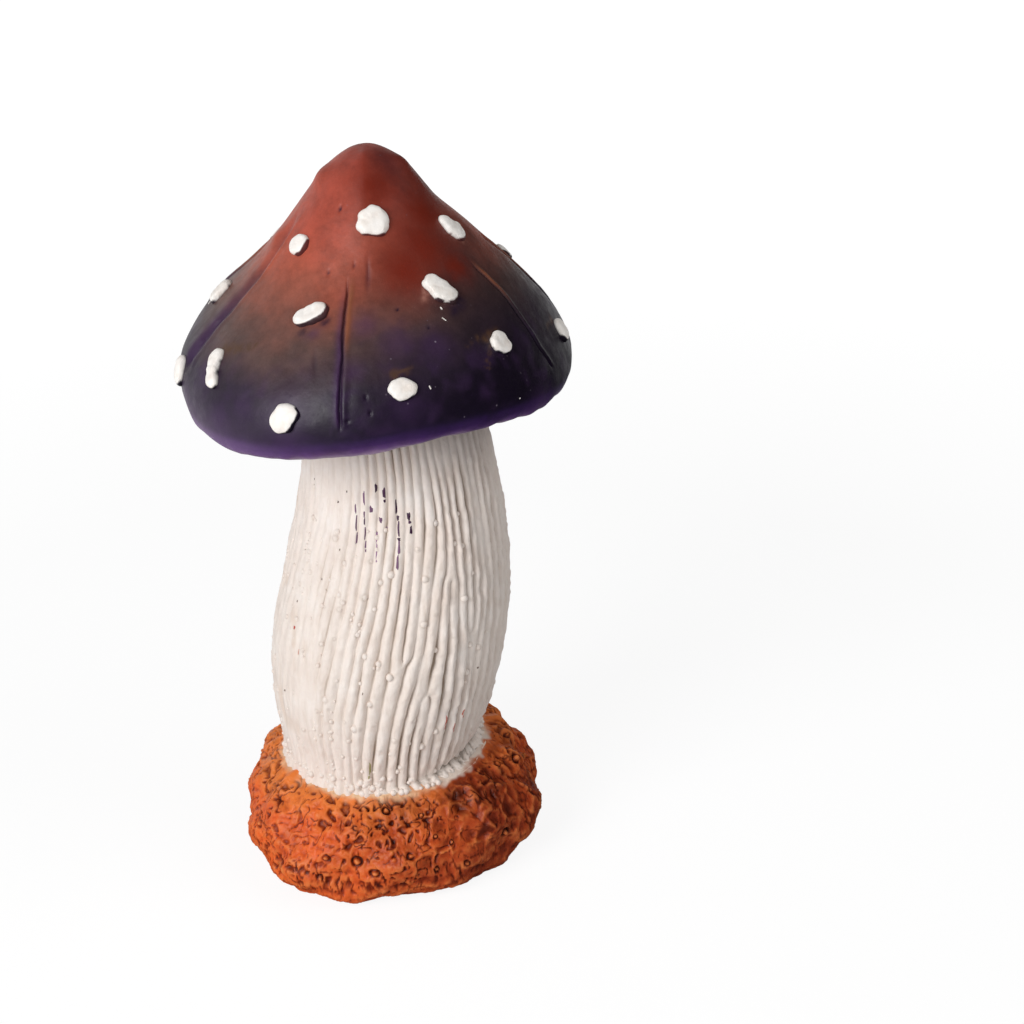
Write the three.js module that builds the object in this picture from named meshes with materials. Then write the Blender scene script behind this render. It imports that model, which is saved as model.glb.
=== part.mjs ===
// Aquarium mushroom ornament: three resin castings (base, stem and cap) stacked on glued spigots,
// with a filler fillet round the stem's foot and raised warts bonded all over the cap.
// Millimetres, +Z up, front towards -Y. The origin is the middle of the base's underside.
import * as THREE from "three";

const { degToRad, radToDeg, lerp, smoothstep, clamp } = THREE.MathUtils;

// Driving dimensions
const HEIGHT = 99.4; // floor to the cap's tip
const GLUE = 0.3; // glue line between any two bonded pieces

const BASE_RADIUS = 21.1; // widest ring of the mound
const BASE_WIDEST = 5.5; // height of that ring
const BASE_SEAT = 14.7; // flat seat that the stem stands on
const UNDERSIDE_RADIUS = 17.2;

const STEM_LENGTH = 54.9; // between the base's seat and the cap
const FOOT_RADIUS = 13.2;
const NECK_RADIUS = 11.6;
const BELLY_SWELL = 3.2; // how far the barrel stands out past a straight taper
const RIBS = 50;
const RIB_HEIGHT = 0.32;

const CAP_RADIUS = 25.7; // widest ring of the cap
const CAP_LIP = 3.3; // rounding of its rim
const CAP_RIM_Z = 70.6; // height of that ring
const CAP_RECESS = 4.5; // hollow under the cap

const SPIGOT_FIT = 1.2; // radial room round a spigot, filled by its glue sleeve
const SLEEVE_SHORT = 1.2; // how far the sleeve stops short of each end of the spigot
const FOOT_SPIGOT = { radius: 10.1, length: 9 };
const NECK_SPIGOT = { radius: 8, length: 9 };

// The ornament was modelled by hand, so its pieces are a little oval, leaning and uneven
const FOOT_CENTRE = new THREE.Vector2(-1.8, -1); // stem's foot, seen from above
const SEAM_CENTRE = new THREE.Vector2(-1.3, -0.9); // top edge of the mound
const SHOULDER_TILT = 0.059; // rise of that edge for each millimetre towards the back
const LEAN = new THREE.Vector2(3.47, 1.25); // foot to neck
const BOW = 16.5; // sideways bend of the stem
const RIB_TWIST = degToRad(9);
const BASE_OVAL = { share: 0.094, turn: degToRad(76) };
const BASE_THREE_SIDED = { share: 0.068, turn: degToRad(-23) };
const CAP_OVAL = { share: 0.07, turn: degToRad(59) };
const RIM_TILT = -0.04; // rise for each millimetre towards +X
const RIM_WAVES = [
  { lobes: 2, size: 0.9, turn: degToRad(-47) },
  { lobes: 3, size: 0.73, turn: degToRad(44) },
];
const CRAGS = [
  { lobes: 7, size: 0.35, climb: 0.45, phase: 0.4 },
  { lobes: 11, size: 0.3, climb: -0.6, phase: 2.1 },
  { lobes: 16, size: 0.22, climb: 0.9, phase: 4.0 },
];

// Radial creases of the cap: degrees round from +X, and its two ends between tip (0) and rim (90)
const CREASE_DEPTH = 0.55;
const CREASE_HALF_WIDTH = 4; // degrees
const CREASE_RUN_OUT = 8; // degrees of fall in which a crease fades at each end
const CREASES = [
  { turn: -160, from: 24, to: 72 },
  { turn: -100, from: 32, to: 84 },
  { turn: -25, from: 34, to: 82 },
  { turn: 10, from: 36, to: 70 },
  { turn: 45, from: 40, to: 82 },
  { turn: 85, from: 34, to: 86 },
  { turn: 130, from: 38, to: 80 },
  { turn: 170, from: 32, to: 84 },
];

// Warts: degrees round from +X, fall from tip (0) to rim (90), length and width, and roll of the long side
const WART_HEIGHT = 0.8;
const PAINTED_WARTS = [
  { turn: -85, fall: 20.5, long: 4.2, wide: 3.9, roll: -30 },
  { turn: -22, fall: 25.5, long: 4.4, wide: 2.9, roll: 50 },
  { turn: -137, fall: 26, long: 3.2, wide: 2.9, roll: -20 },
  { turn: -57, fall: 38.5, long: 5.0, wide: 3.4, roll: 50 },
  { turn: -114, fall: 41, long: 4.4, wide: 2.5, roll: -65 },
  { turn: -176.5, fall: 50.5, long: 3.7, wide: 2.1, roll: 10 },
  { turn: -142, fall: 65, long: 5.0, wide: 2.3, roll: 0 },
  { turn: -161, fall: 79, long: 3.5, wide: 2.2, roll: 0 },
  { turn: -113, fall: 78, long: 4.1, wide: 3.6, roll: -15 },
  { turn: -81, fall: 72, long: 4.0, wide: 3.0, roll: 90 },
  { turn: -43, fall: 62, long: 3.2, wide: 3.0, roll: 10 },
  { turn: -1, fall: 71.5, long: 3.1, wide: 2.4, roll: 0 },
  { turn: 24, fall: 43.5, long: 3.0, wide: 2.1, roll: 40 },
  { turn: 72, fall: 80, long: 3.6, wide: 2.9, roll: 30 },
  { turn: 56, fall: 25, long: 3.6, wide: 3.0, roll: -25 },
  { turn: 62, fall: 64, long: 4.4, wide: 2.7, roll: 70 },
  { turn: 68, fall: 42, long: 4.0, wide: 3.3, roll: 15 },
  { turn: 100, fall: 26, long: 4.2, wide: 2.8, roll: -50 },
  { turn: 102, fall: 73, long: 3.4, wide: 3.2, roll: 0 },
  { turn: 118, fall: 46, long: 4.8, wide: 2.8, roll: 40 },
  { turn: 147, fall: 70, long: 4.2, wide: 3.0, roll: -20 },
  { turn: 149, fall: 34, long: 3.2, wide: 2.8, roll: 0 },
];
const BARE_WARTS = [
  { turn: -166, fall: 12.5, long: 3.6, wide: 2.8, roll: 0 },
  { turn: -19, fall: 10, long: 3.4, wide: 2.6, roll: 0 },
  { turn: -171, fall: 27.5, long: 3.0, wide: 2.6, roll: 0 },
];

const CAP_COLUMNS = 72; // one every 5 degrees, so that each crease lies on a column
const BASE_COLUMNS = 64;
const SLEEVE_COLUMNS = 32;
const FILLET_COLUMNS = 48;

const paint = (color, roughness) =>
  new THREE.MeshStandardMaterial({ color, roughness, metalness: 0 });
const CAP_PAINT = paint(0x45303f, 0.5);
const WART_PAINT = paint(0xf1ece6, 0.6);
const STEM_PAINT = paint(0xd9cfc6, 0.6);
const BASE_PAINT = paint(0xb35025, 0.6);
const FILLER = paint(0xdcd6ce, 0.7);
const EPOXY = paint(0xc9b98f, 0.4);

// Shared shaping

const UP = new THREE.Vector3(0, 0, 1);

// An outline of [radius, height] pairs turned about Z. It starts and ends on the axis, or closes on itself.
function turned(outline, columns) {
  const points = outline.map(([radius, height]) => new THREE.Vector2(radius, height));
  return new THREE.LatheGeometry(points, columns).rotateX(Math.PI / 2);
}

// Moves every vertex of a geometry by a rule.
function reshape(geometry, move) {
  const position = geometry.getAttribute("position");
  const vertex = new THREE.Vector3();
  for (let i = 0; i < position.count; i++) {
    move(vertex.fromBufferAttribute(position, i));
    position.setXYZ(i, vertex.x, vertex.y, vertex.z);
  }
  geometry.computeVertexNormals();
  return geometry;
}

function scaleRadius(vertex, share) {
  vertex.x *= share;
  vertex.y *= share;
}

const radiusOf = (vertex) => Math.hypot(vertex.x, vertex.y);
const turnOf = (vertex) => Math.atan2(vertex.y, vertex.x);
const lobe = ({ share, turn }, lobes, at) => share * Math.cos(lobes * (at - turn));
const steps = (count) => Array.from({ length: count + 1 }, (_, i) => i / count);

function named(name, geometry, material) {
  const mesh = new THREE.Mesh(geometry, material.clone());
  mesh.name = name;
  return mesh;
}

// A thin tube of set glue that fills the room between a spigot and its socket, short of both ends.
function glueSleeve(spigot, root) {
  const inner = spigot.radius + GLUE;
  const outer = spigot.radius + SPIGOT_FIT - GLUE;
  const from = root + SLEEVE_SHORT;
  const to = root + spigot.length - SLEEVE_SHORT;
  return turned([[inner, from], [outer, from], [outer, to], [inner, to], [inner, from]], SLEEVE_COLUMNS);
}

// Base: a craggy mound with a flat underside and a socket for the stem's foot

const MOUND_ROUNDNESS = 2.03; // superellipse power of the mound's shoulder
const MOUND_CENTRE = 8.9; // radius at which the shoulder's curve is centred
const MOUND_RISE = 10.2; // height of that curve above the widest ring
const SEAM_RADIUS = 13.7; // inner edge of the shoulder
const SEAT_RADIUS = 12.4; // edge of the flat seat inside it
const RING_CROWDING = 1.6; // crowds the shoulder's rings towards its steep edge
const CRAG_FREE = 3; // height below the seat in which the crags die out, so that the filler sits flat
const SOCKET_FLOOR = BASE_SEAT - FOOT_SPIGOT.length;
const BASE_SOCKET = FOOT_SPIGOT.radius + SPIGOT_FIT;

function shoulderHeight(radius) {
  const out = clamp((radius - MOUND_CENTRE) / (BASE_RADIUS - MOUND_CENTRE), 0, 1);
  return BASE_WIDEST + MOUND_RISE * (1 - out ** MOUND_ROUNDNESS) ** (1 / MOUND_ROUNDNESS);
}

function baseOutline() {
  const under = steps(4).map((t) => {
    const angle = (Math.PI / 2) * (1 - t);
    const radius = UNDERSIDE_RADIUS + (BASE_RADIUS - UNDERSIDE_RADIUS) * Math.cos(angle);
    return [radius, BASE_WIDEST * (1 - Math.sin(angle))];
  });
  const shoulder = steps(7).slice(1).map((t) => {
    const radius = lerp(BASE_RADIUS, SEAM_RADIUS, t ** RING_CROWDING);
    return [radius, shoulderHeight(radius)];
  });
  const seat = [[SEAT_RADIUS, BASE_SEAT], [BASE_SOCKET, BASE_SEAT]];
  const socket = [[BASE_SOCKET, SOCKET_FLOOR], [0, SOCKET_FLOOR]];
  return [[0, 0], ...under, ...shoulder, ...seat, ...socket];
}

function makeBase() {
  return reshape(turned(baseOutline(), BASE_COLUMNS), (v) => {
    const radius = radiusOf(v);
    const turn = turnOf(v);
    const rise = v.z / BASE_SEAT;
    const skin = smoothstep(radius, SEAT_RADIUS, SEAM_RADIUS); // 0 in the seat and socket, 1 on the outside
    const plan = lobe(BASE_OVAL, 2, turn) + lobe(BASE_THREE_SIDED, 3, turn);
    const cragFade = smoothstep(BASE_SEAT - v.z, 0, CRAG_FREE);
    let crag = 0;
    for (const { lobes, size, climb, phase } of CRAGS) {
      crag += size * cragFade * Math.cos(lobes * turn + climb * v.z + phase);
    }
    scaleRadius(v, 1 + skin * ((1 - rise) * plan + crag / Math.max(radius, SEAT_RADIUS)));
    v.z += skin * rise * SHOULDER_TILT * v.y;
    const socketed = v.z > 0 ? 1 - skin : 0;
    v.x += lerp(SEAM_CENTRE.x * rise, FOOT_CENTRE.x, socketed);
    v.y += lerp(SEAM_CENTRE.y * rise, FOOT_CENTRE.y, socketed);
  });
}

// Stem: a ribbed barrel with a spigot at each end, modelled from its own foot

const BELLY = { at: 0.35, lower: 1.4, upper: 2.6 }; // place and sharpness of the widest ring
const FOOT_ROUNDING = { drop: 1.2, share: 0.06 }; // the foot's edge is rounded over this share of the length
const RIBS_FADE = 0.05; // share of the length in which the ribs die out at each end

function stemRadius(t) {
  const swell = (t / BELLY.at) ** BELLY.lower * ((1 - t) / (1 - BELLY.at)) ** BELLY.upper;
  const rounding = FOOT_ROUNDING.drop * Math.max(0, 1 - t / FOOT_ROUNDING.share) ** 2;
  return lerp(FOOT_RADIUS, NECK_RADIUS, t) + BELLY_SWELL * swell - rounding;
}

const stemAxis = (t) =>
  new THREE.Vector2(LEAN.x * t + BOW * t * t * (1 - t), LEAN.y * t * t);

function stemOutline() {
  const lower = -FOOT_SPIGOT.length + 2 * GLUE;
  const upper = STEM_LENGTH + NECK_SPIGOT.length;
  const levels = [0, FOOT_ROUNDING.share / 2, ...steps(13).slice(1)];
  const barrel = levels.map((t) => [stemRadius(t), STEM_LENGTH * t]);
  return [
    [0, lower], [FOOT_SPIGOT.radius, lower], [FOOT_SPIGOT.radius, 0],
    ...barrel,
    [NECK_SPIGOT.radius, STEM_LENGTH], [NECK_SPIGOT.radius, upper], [0, upper],
  ];
}

function makeStem() {
  return reshape(turned(stemOutline(), 2 * RIBS), (v) => {
    const radius = radiusOf(v);
    const t = clamp(v.z / STEM_LENGTH, 0, 1);
    if (radius > FOOT_SPIGOT.radius) {
      const ribFade = smoothstep(Math.min(t, 1 - t), 0, RIBS_FADE);
      const angle = Math.atan2(v.x, -v.y);
      scaleRadius(v, 1 + (RIB_HEIGHT * ribFade * Math.cos(RIBS * angle)) / radius);
    }
    v.applyAxisAngle(UP, RIB_TWIST * Math.sin(Math.PI * t));
    const axis = stemAxis(t);
    v.x += axis.x;
    v.y += axis.y;
  });
}

// Filler: a bead of white putty in the corner between the stem's foot and the base

const FILLET_SECTION = [[12.9, 0], [14.3, 0], [14.5, 0.5], [14.2, 1.1], [13.6, 1.2], [13.1, 0.6], [12.9, 0]];

function makeFillet() {
  const foot = shoulderHeight(SEAM_RADIUS) + GLUE;
  const ring = turned(FILLET_SECTION.map(([radius, rise]) => [radius, foot + rise]), FILLET_COLUMNS);
  return reshape(ring, (v) => {
    v.z += SHOULDER_TILT * v.y;
    const stem = stemRadius(clamp((v.z - BASE_SEAT - GLUE) / STEM_LENGTH, 0, 1)) + RIB_HEIGHT;
    scaleRadius(v, Math.max(1, (stem + 2 * GLUE) / radiusOf(v)));
  });
}

// Cap: a dome with a bell-shaped peak, a rounded rim and a shallow hollow underneath,
// modelled from the middle of its widest ring

const CAP_RISE = HEIGHT - CAP_RIM_Z;
const DOME_SHARE = 0.51; // the rest of the rise is the peak
const PEAK_WIDTH = 0.45; // of the cap's radius
const CAP_SOCKET = NECK_SPIGOT.radius + SPIGOT_FIT;
const HAND_SHAPED_FROM = 0.37; // share of the radius inside which the cap stays true, for its socket

// Radius and height of the cap's outer face; fall runs from 0 at the tip to 90 at the rim.
function flank(fall) {
  const out = Math.sin(degToRad(fall));
  const dome = Math.cos(degToRad(fall));
  const peak = Math.exp(-((out / PEAK_WIDTH) ** 2));
  return new THREE.Vector2(CAP_RADIUS * out, CAP_RISE * lerp(peak, dome, DOME_SHARE));
}

function underHeight(radius) {
  return CAP_RECESS * (1 - (radius / (CAP_RADIUS - CAP_LIP)) ** 2) - CAP_LIP;
}

function capOutline() {
  const ceiling = STEM_LENGTH + BASE_SEAT + GLUE + NECK_SPIGOT.length + GLUE - CAP_RIM_Z;
  const under = steps(4).map((t) => {
    const radius = lerp(CAP_SOCKET, CAP_RADIUS - CAP_LIP, t);
    return [radius, underHeight(radius)];
  });
  const lip = steps(4).slice(1).map((t) => {
    const angle = (Math.PI / 2) * (t - 1);
    return [CAP_RADIUS + CAP_LIP * (Math.cos(angle) - 1), CAP_LIP * Math.sin(angle)];
  });
  const face = steps(13).slice(1).map((t) => flank(90 * (1 - t)).toArray());
  return [[0, ceiling], [CAP_SOCKET, ceiling], ...under, ...lip, ...face];
}

// The oval plan and the tilted, waving rim, shared by the cap and what is bonded to it.
function handShape(v) {
  const turn = turnOf(v);
  const fade = smoothstep(radiusOf(v) / CAP_RADIUS, HAND_SHAPED_FROM, 1);
  let wave = RIM_TILT * v.x;
  for (const { lobes, size, turn: towards } of RIM_WAVES) {
    wave += size * Math.cos(lobes * (turn - towards));
  }
  v.z += fade * wave;
  scaleRadius(v, 1 + fade * lobe(CAP_OVAL, 2, turn));
}

// How deep the creases are at a turn and a fall, both in degrees.
function creaseDepth(turn, fall) {
  let depth = 0;
  for (const crease of CREASES) {
    const away = Math.abs(((turn - crease.turn + 540) % 360) - 180);
    const inside = Math.min(fall - crease.from, crease.to - fall);
    const along = smoothstep(inside, 0, CREASE_RUN_OUT);
    depth += CREASE_DEPTH * along * (1 - smoothstep(away, 0, CREASE_HALF_WIDTH));
  }
  return depth;
}

function makeCap() {
  return reshape(turned(capOutline(), CAP_COLUMNS), (v) => {
    const radius = radiusOf(v);
    if (v.z > 0 && radius > CAP_SOCKET) {
      const fall = radToDeg(Math.asin(clamp(radius / CAP_RADIUS, 0, 1)));
      const depth = creaseDepth(radToDeg(turnOf(v)), fall) * Math.SQRT1_2;
      scaleRadius(v, 1 - depth / radius);
      v.z -= depth;
    }
    handShape(v);
  });
}

// A wart: a ball flattened onto the cap's outer face, one glue line above it.
function makeWart({ turn, fall, long, wide, roll }) {
  const ahead = flank(fall + 1).sub(flank(fall)); // one degree down the face
  const perDegree = ahead.length();
  const lean = degToRad(roll);
  const ball = new THREE.SphereGeometry(1, 10, 6).rotateX(Math.PI / 2);
  return reshape(ball, (v) => {
    const across = (wide / 2) * v.x;
    const along = (long / 2) * v.y;
    const sideways = across * Math.cos(lean) - along * Math.sin(lean);
    const up = across * Math.sin(lean) + along * Math.cos(lean);
    const place = fall - up / perDegree;
    const point = flank(place);
    const slope = flank(place + 0.5).sub(flank(place - 0.5)).normalize();
    const proud = GLUE + WART_HEIGHT * Math.sqrt(Math.max(0, v.z));
    const radius = point.x - slope.y * proud;
    const angle = degToRad(turn) + sideways / Math.max(flank(fall).x, 1);
    v.set(radius * Math.cos(angle), radius * Math.sin(angle), point.y + slope.x * proud);
    handShape(v);
  });
}

// Assembly

const baseGroup = new THREE.Group();
baseGroup.add(named("base_mound", makeBase(), BASE_PAINT));

const stemGroup = new THREE.Group();
stemGroup.position.set(FOOT_CENTRE.x, FOOT_CENTRE.y, BASE_SEAT + GLUE);
stemGroup.add(named("stem", makeStem(), STEM_PAINT));

const footJoint = new THREE.Group();
footJoint.position.set(FOOT_CENTRE.x, FOOT_CENTRE.y, 0);
footJoint.add(named("foot_fillet", makeFillet(), FILLER));
footJoint.add(named("foot_glue_sleeve", glueSleeve(FOOT_SPIGOT, SOCKET_FLOOR), EPOXY));

const capGroup = new THREE.Group();
const neck = stemAxis(1).add(FOOT_CENTRE);
capGroup.position.set(neck.x, neck.y, CAP_RIM_Z);
capGroup.add(named("cap", makeCap(), CAP_PAINT));
const neckTop = BASE_SEAT + GLUE + STEM_LENGTH - CAP_RIM_Z;
capGroup.add(named("neck_glue_sleeve", glueSleeve(NECK_SPIGOT, neckTop), EPOXY));

const numbered = (name, index) => `${name}_${String(index + 1).padStart(2, "0")}`;
PAINTED_WARTS.forEach((wart, i) => {
  capGroup.add(named(numbered("white_wart", i), makeWart(wart), WART_PAINT));
});
BARE_WARTS.forEach((wart, i) => {
  capGroup.add(named(numbered("bare_wart", i), makeWart(wart), CAP_PAINT));
});

const mushroom = new THREE.Group();
mushroom.add(baseGroup, footJoint, stemGroup, capGroup);

export default mushroom;
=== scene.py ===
from itertools import product

import bpy
import numpy as np
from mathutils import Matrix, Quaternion, Vector


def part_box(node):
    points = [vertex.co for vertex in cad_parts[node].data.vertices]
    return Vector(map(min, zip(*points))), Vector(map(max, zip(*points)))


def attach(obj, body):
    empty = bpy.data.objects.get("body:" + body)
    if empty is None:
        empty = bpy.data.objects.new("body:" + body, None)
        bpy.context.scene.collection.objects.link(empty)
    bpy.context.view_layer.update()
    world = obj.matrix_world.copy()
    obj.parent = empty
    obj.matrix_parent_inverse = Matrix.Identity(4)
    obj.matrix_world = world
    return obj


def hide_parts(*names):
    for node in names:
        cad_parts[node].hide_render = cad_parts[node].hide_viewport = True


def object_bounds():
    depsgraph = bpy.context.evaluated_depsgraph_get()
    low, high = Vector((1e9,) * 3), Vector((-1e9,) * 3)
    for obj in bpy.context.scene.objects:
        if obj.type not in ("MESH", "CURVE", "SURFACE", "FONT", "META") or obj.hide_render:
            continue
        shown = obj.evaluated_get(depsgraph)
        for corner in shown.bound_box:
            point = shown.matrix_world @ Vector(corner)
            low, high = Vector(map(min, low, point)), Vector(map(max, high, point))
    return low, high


# Aquarium mushroom: painted resin cap, stem and base. Shapes are worked out in mm and stored in metres.
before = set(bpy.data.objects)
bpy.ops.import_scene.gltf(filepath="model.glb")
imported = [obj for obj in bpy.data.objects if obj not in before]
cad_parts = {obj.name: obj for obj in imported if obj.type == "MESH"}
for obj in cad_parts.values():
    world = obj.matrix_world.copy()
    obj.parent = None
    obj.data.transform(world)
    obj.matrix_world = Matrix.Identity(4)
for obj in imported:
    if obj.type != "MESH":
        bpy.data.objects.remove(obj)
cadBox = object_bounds()
mm = 0.001
print("frame:", len(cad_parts), "nodes")


def middleOf(node):
    # centre of a node seen from above, mm
    low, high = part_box(node)
    return np.array([(low.x + high.x) / 2 / mm, (low.y + high.y) / 2 / mm])


footCentre = middleOf("foot_glue_sleeve")
neckCentre = middleOf("neck_glue_sleeve")
tipHeight = cadBox[1].z / mm


# number helpers

def ease(value, low, high):
    # 0 below low, 1 above high, smooth between
    t = np.clip((value - low) / (high - low), 0, 1)
    return t * t * (3 - 2 * t)


def bell(value, width):
    # 1 at zero, falling off evenly both ways
    return np.exp(-(value / width) ** 2)


def wrap(turn):
    # degrees brought between -180 and 180
    return (turn + 180) % 360 - 180


def polar(turn, radius):
    # x and y of a place round an axis
    return radius * np.cos(np.radians(turn)), radius * np.sin(np.radians(turn))


def towards(turn, at, spread):
    # 1 on the side that faces a turn, falling off over the spread in degrees
    return bell(wrap(turn - at), spread)


def swollen(turn, level, swells):
    # sum of broad bumps: turn and level of each, its height, and its spread both ways
    return sum(
        size * towards(turn, at, wide) * bell(level - middle, tall) for at, middle, size, wide, tall in swells
    )


def lattice(cell, seed):
    # repeatable random number, 0 to 1, for each whole-number cell
    x, y, z = (cell[..., i].astype(np.uint64) for i in range(3))
    with np.errstate(over="ignore"):
        mixed = x * np.uint64(73856093) ^ y * np.uint64(19349663) ^ z * np.uint64(83492791)
        mixed = (mixed ^ np.uint64(seed * 7919 + 17)) * np.uint64(1274126177)
        mixed = (mixed ^ (mixed >> np.uint64(15))) * np.uint64(2246822519)
    mixed = mixed ^ (mixed >> np.uint64(13))
    return (mixed & np.uint64(0xffffff)).astype(float) / 0xffffff


def noise(points, size, seed):
    # smooth noise, about -1 to 1: random values on a lattice of that size in mm, eased between
    place = points / size
    cell = np.floor(place).astype(np.int64)
    part = place - cell
    blend = part * part * (3 - 2 * part)
    total = np.zeros(points.shape[:-1])
    for corner in product((0, 1), repeat=3):
        weight = np.where(corner, blend, 1 - blend).prod(axis=-1)
        total += weight * lattice(cell + np.array(corner), seed)
    return 2 * total - 1


def rough(points, size, octaves, seed):
    # noise summed over halving sizes and weights
    return sum(noise(points, size / 2 ** i, seed + i) / 2 ** i for i in range(octaves))


def layered(points, layers):
    # noises drawn out upright: height of each, how far it is squeezed upright, size in mm and seed
    return sum(height * noise(points * (1, 1, squeeze), size, seed) for height, squeeze, size, seed in layers)


def jittered(points, size, reach, seed):
    # points pushed about by noise, which makes edges ragged
    return points + reach * np.stack([noise(points, size, seed + i) for i in range(3)], axis=-1)


def cells(points, size, seed):
    # distances to the nearest and second nearest scattered point, in sizes, and the nearest one's own number
    place = points / size
    home = np.floor(place).astype(np.int64)
    nearest = np.full(points.shape[:-1], 9.0)
    second = nearest.copy()
    own = np.zeros_like(nearest)
    for step in product((-1, 0, 1), repeat=3):
        cell = home + np.array(step)
        spot = cell + np.stack([lattice(cell, seed + i) for i in range(3)], axis=-1)
        away = np.linalg.norm(place - spot, axis=-1)
        closer = away < nearest
        second = np.where(closer, nearest, np.minimum(second, away))
        own = np.where(closer, lattice(cell, seed + 5), own)
        nearest = np.where(closer, away, nearest)
    return nearest, second, own


def spots(points, centres, sizes):
    # soft round marks: 1 at each centre, falling off over its size in mm
    mark = np.zeros(points.shape[:-1])
    for centre, size in zip(centres, sizes):
        mark = np.maximum(mark, bell(np.linalg.norm(points - centre, axis=-1), size))
    return mark


def crowdedTurns(count, centres, width, gain):
    # turns round a piece, packed closer near the centres: equal steps of a summed density
    fine = np.linspace(-180, 180, 7201)
    density = 1 + gain * sum(towards(fine, centre, width) for centre in centres)
    total = np.concatenate([[0], np.cumsum((density[1:] + density[:-1]) / 2)])
    return np.interp(np.arange(count) / count * total[-1], total, fine)


# mesh helpers

def loopGrid(points, poles=None, **marks):
    # rows of closed loops joined by quads; two poles close the ends, or else the rows close on themselves
    rows, columns = points.shape[:2]
    index = np.arange(rows * columns).reshape(rows, columns)
    lower = index if poles is None else index[:-1]
    upper = np.roll(index, -1, axis=0) if poles is None else index[1:]
    quads = np.stack([lower, np.roll(lower, -1, 1), np.roll(upper, -1, 1), upper], -1).reshape(-1, 4)
    vertices = points.reshape(-1, 3)
    triangles = np.empty((0, 3), int)
    values = {name: mark.reshape(-1) for name, mark in marks.items()}
    if poles is not None:
        first = np.full(columns, rows * columns)
        ends = [
            np.stack([first, np.roll(index[0], -1), index[0]], -1),
            np.stack([first + 1, index[-1], np.roll(index[-1], -1)], -1),
        ]
        triangles = np.vstack(ends)
        vertices = np.vstack([vertices, poles])
        values = {
            name: np.append(values[name], [mark[0].mean(), mark[-1].mean()]) for name, mark in marks.items()
        }
    return vertices, quads, triangles, values


def endMiddles(points):
    # poles in the middles of a grid's first and last rows
    return np.stack([points[0].mean(axis=0), points[-1].mean(axis=0)])


def flatRing(centre, radius, height, turns):
    # one level loop, as a grid of one row
    x, y = polar(turns, radius)
    return np.stack([centre[0] + x, centre[1] + y, height + 0 * x], -1)[None]


def ball(centre, radius, *marks):
    # small round bead with every mark at zero
    spokes, rise = np.linspace(0, 2 * np.pi, 8, endpoint=False), np.linspace(-1.0, 1.0, 4)[:, None]
    level = np.cos(rise)
    around = np.stack([level * np.cos(spokes), level * np.sin(spokes), np.sin(rise) + 0 * spokes], -1)
    flat = np.zeros(around.shape[:2])
    ends = np.array([[0, 0, -radius], [0, 0, radius]])
    return loopGrid(centre + radius * around, centre + ends, **{mark: flat for mark in marks})


def makePiece(name, grids, material, slotName, *nodes):
    # one object from several grids, at the origin, smooth, riding on the one body of the ornament
    offsets = np.cumsum([0] + [len(grid[0]) for grid in grids])
    vertices = np.vstack([grid[0] for grid in grids]) * mm
    quads = np.vstack([grid[1] + offset for grid, offset in zip(grids, offsets)])
    triangles = np.vstack([grid[2] + offset for grid, offset in zip(grids, offsets)])
    mesh = bpy.data.meshes.new(name)
    mesh.vertices.add(len(vertices))
    mesh.vertices.foreach_set("co", vertices.astype(np.float32).ravel())
    mesh.loops.add(quads.size + triangles.size)
    mesh.loops.foreach_set("vertex_index", np.append(quads, triangles).astype(np.int32))
    starts = np.append(np.arange(len(quads)) * 4, quads.size + np.arange(len(triangles)) * 3)
    mesh.polygons.add(len(starts))
    mesh.polygons.foreach_set("loop_start", starts.astype(np.int32))
    mesh.update(calc_edges=True)
    mesh.validate()
    mesh.shade_smooth()
    for mark in grids[0][3]:
        values = np.concatenate([grid[3][mark] for grid in grids])
        mesh.attributes.new(mark, "FLOAT", "POINT").data.foreach_set("value", values.astype(np.float32))
    mesh.materials.append(material)
    piece = bpy.data.objects.new(name, mesh)
    bpy.context.scene.collection.objects.link(piece)
    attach(piece, "root")
    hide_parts(*nodes)
    print(name + ":", 2 * len(quads) + len(triangles), "triangles")


def gridNormals(points):
    # outward normals of a loop grid: round the loop crossed with up the rows
    around = np.roll(points, -1, axis=1) - np.roll(points, 1, axis=1)
    along = np.gradient(points, axis=0)
    normal = np.cross(around, along)
    return normal / np.maximum(np.linalg.norm(normal, axis=-1, keepdims=True), 1e-9)


def blurred(values, passes):
    # each pass averages a grid with its neighbours, round the loop and along the rows
    for _ in range(passes):
        values = (values + np.roll(values, 1, 1) + np.roll(values, -1, 1)) / 3
        values = (values + np.vstack([values[:1], values[:-1]]) + np.vstack([values[1:], values[-1:]])) / 3
    return values


# material helpers

def toLinear(hexColour):
    # sRGB hex to linear
    parts = [int(hexColour[i:i + 2], 16) / 255 for i in (1, 3, 5)]
    return [p / 12.92 if p <= 0.04045 else ((p + 0.055) / 1.055) ** 2.4 for p in parts] + [1]


def perMm(size):
    # texture scale for a pattern of that size in mm
    return 1 / (size * mm)


def addNode(tree, kind, inputs=None, stops=None, **settings):
    node = tree.nodes.new("ShaderNode" + kind)
    for key, value in settings.items():
        setattr(node, key, value)
    for key, value in (inputs or {}).items():
        if isinstance(value, bpy.types.NodeSocket):
            tree.links.new(value, node.inputs[key])
        else:
            node.inputs[key].default_value = value
    if stops:
        elements = node.color_ramp.elements
        elements.remove(elements[1])
        elements[0].position, elements[0].color = stops[0][0], toLinear(stops[0][1])
        for place, colour in stops[1:]:
            elements.new(place).color = toLinear(colour)
    return node


def newMaterial(name, roughness):
    material = bpy.data.materials.new(name)
    material.use_nodes = True
    tree = material.node_tree
    shader = tree.nodes["Principled BSDF"]
    shader.inputs["Roughness"].default_value = roughness
    where = addNode(tree, "TexCoord").outputs["Object"]
    return material, tree, shader, where


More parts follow.
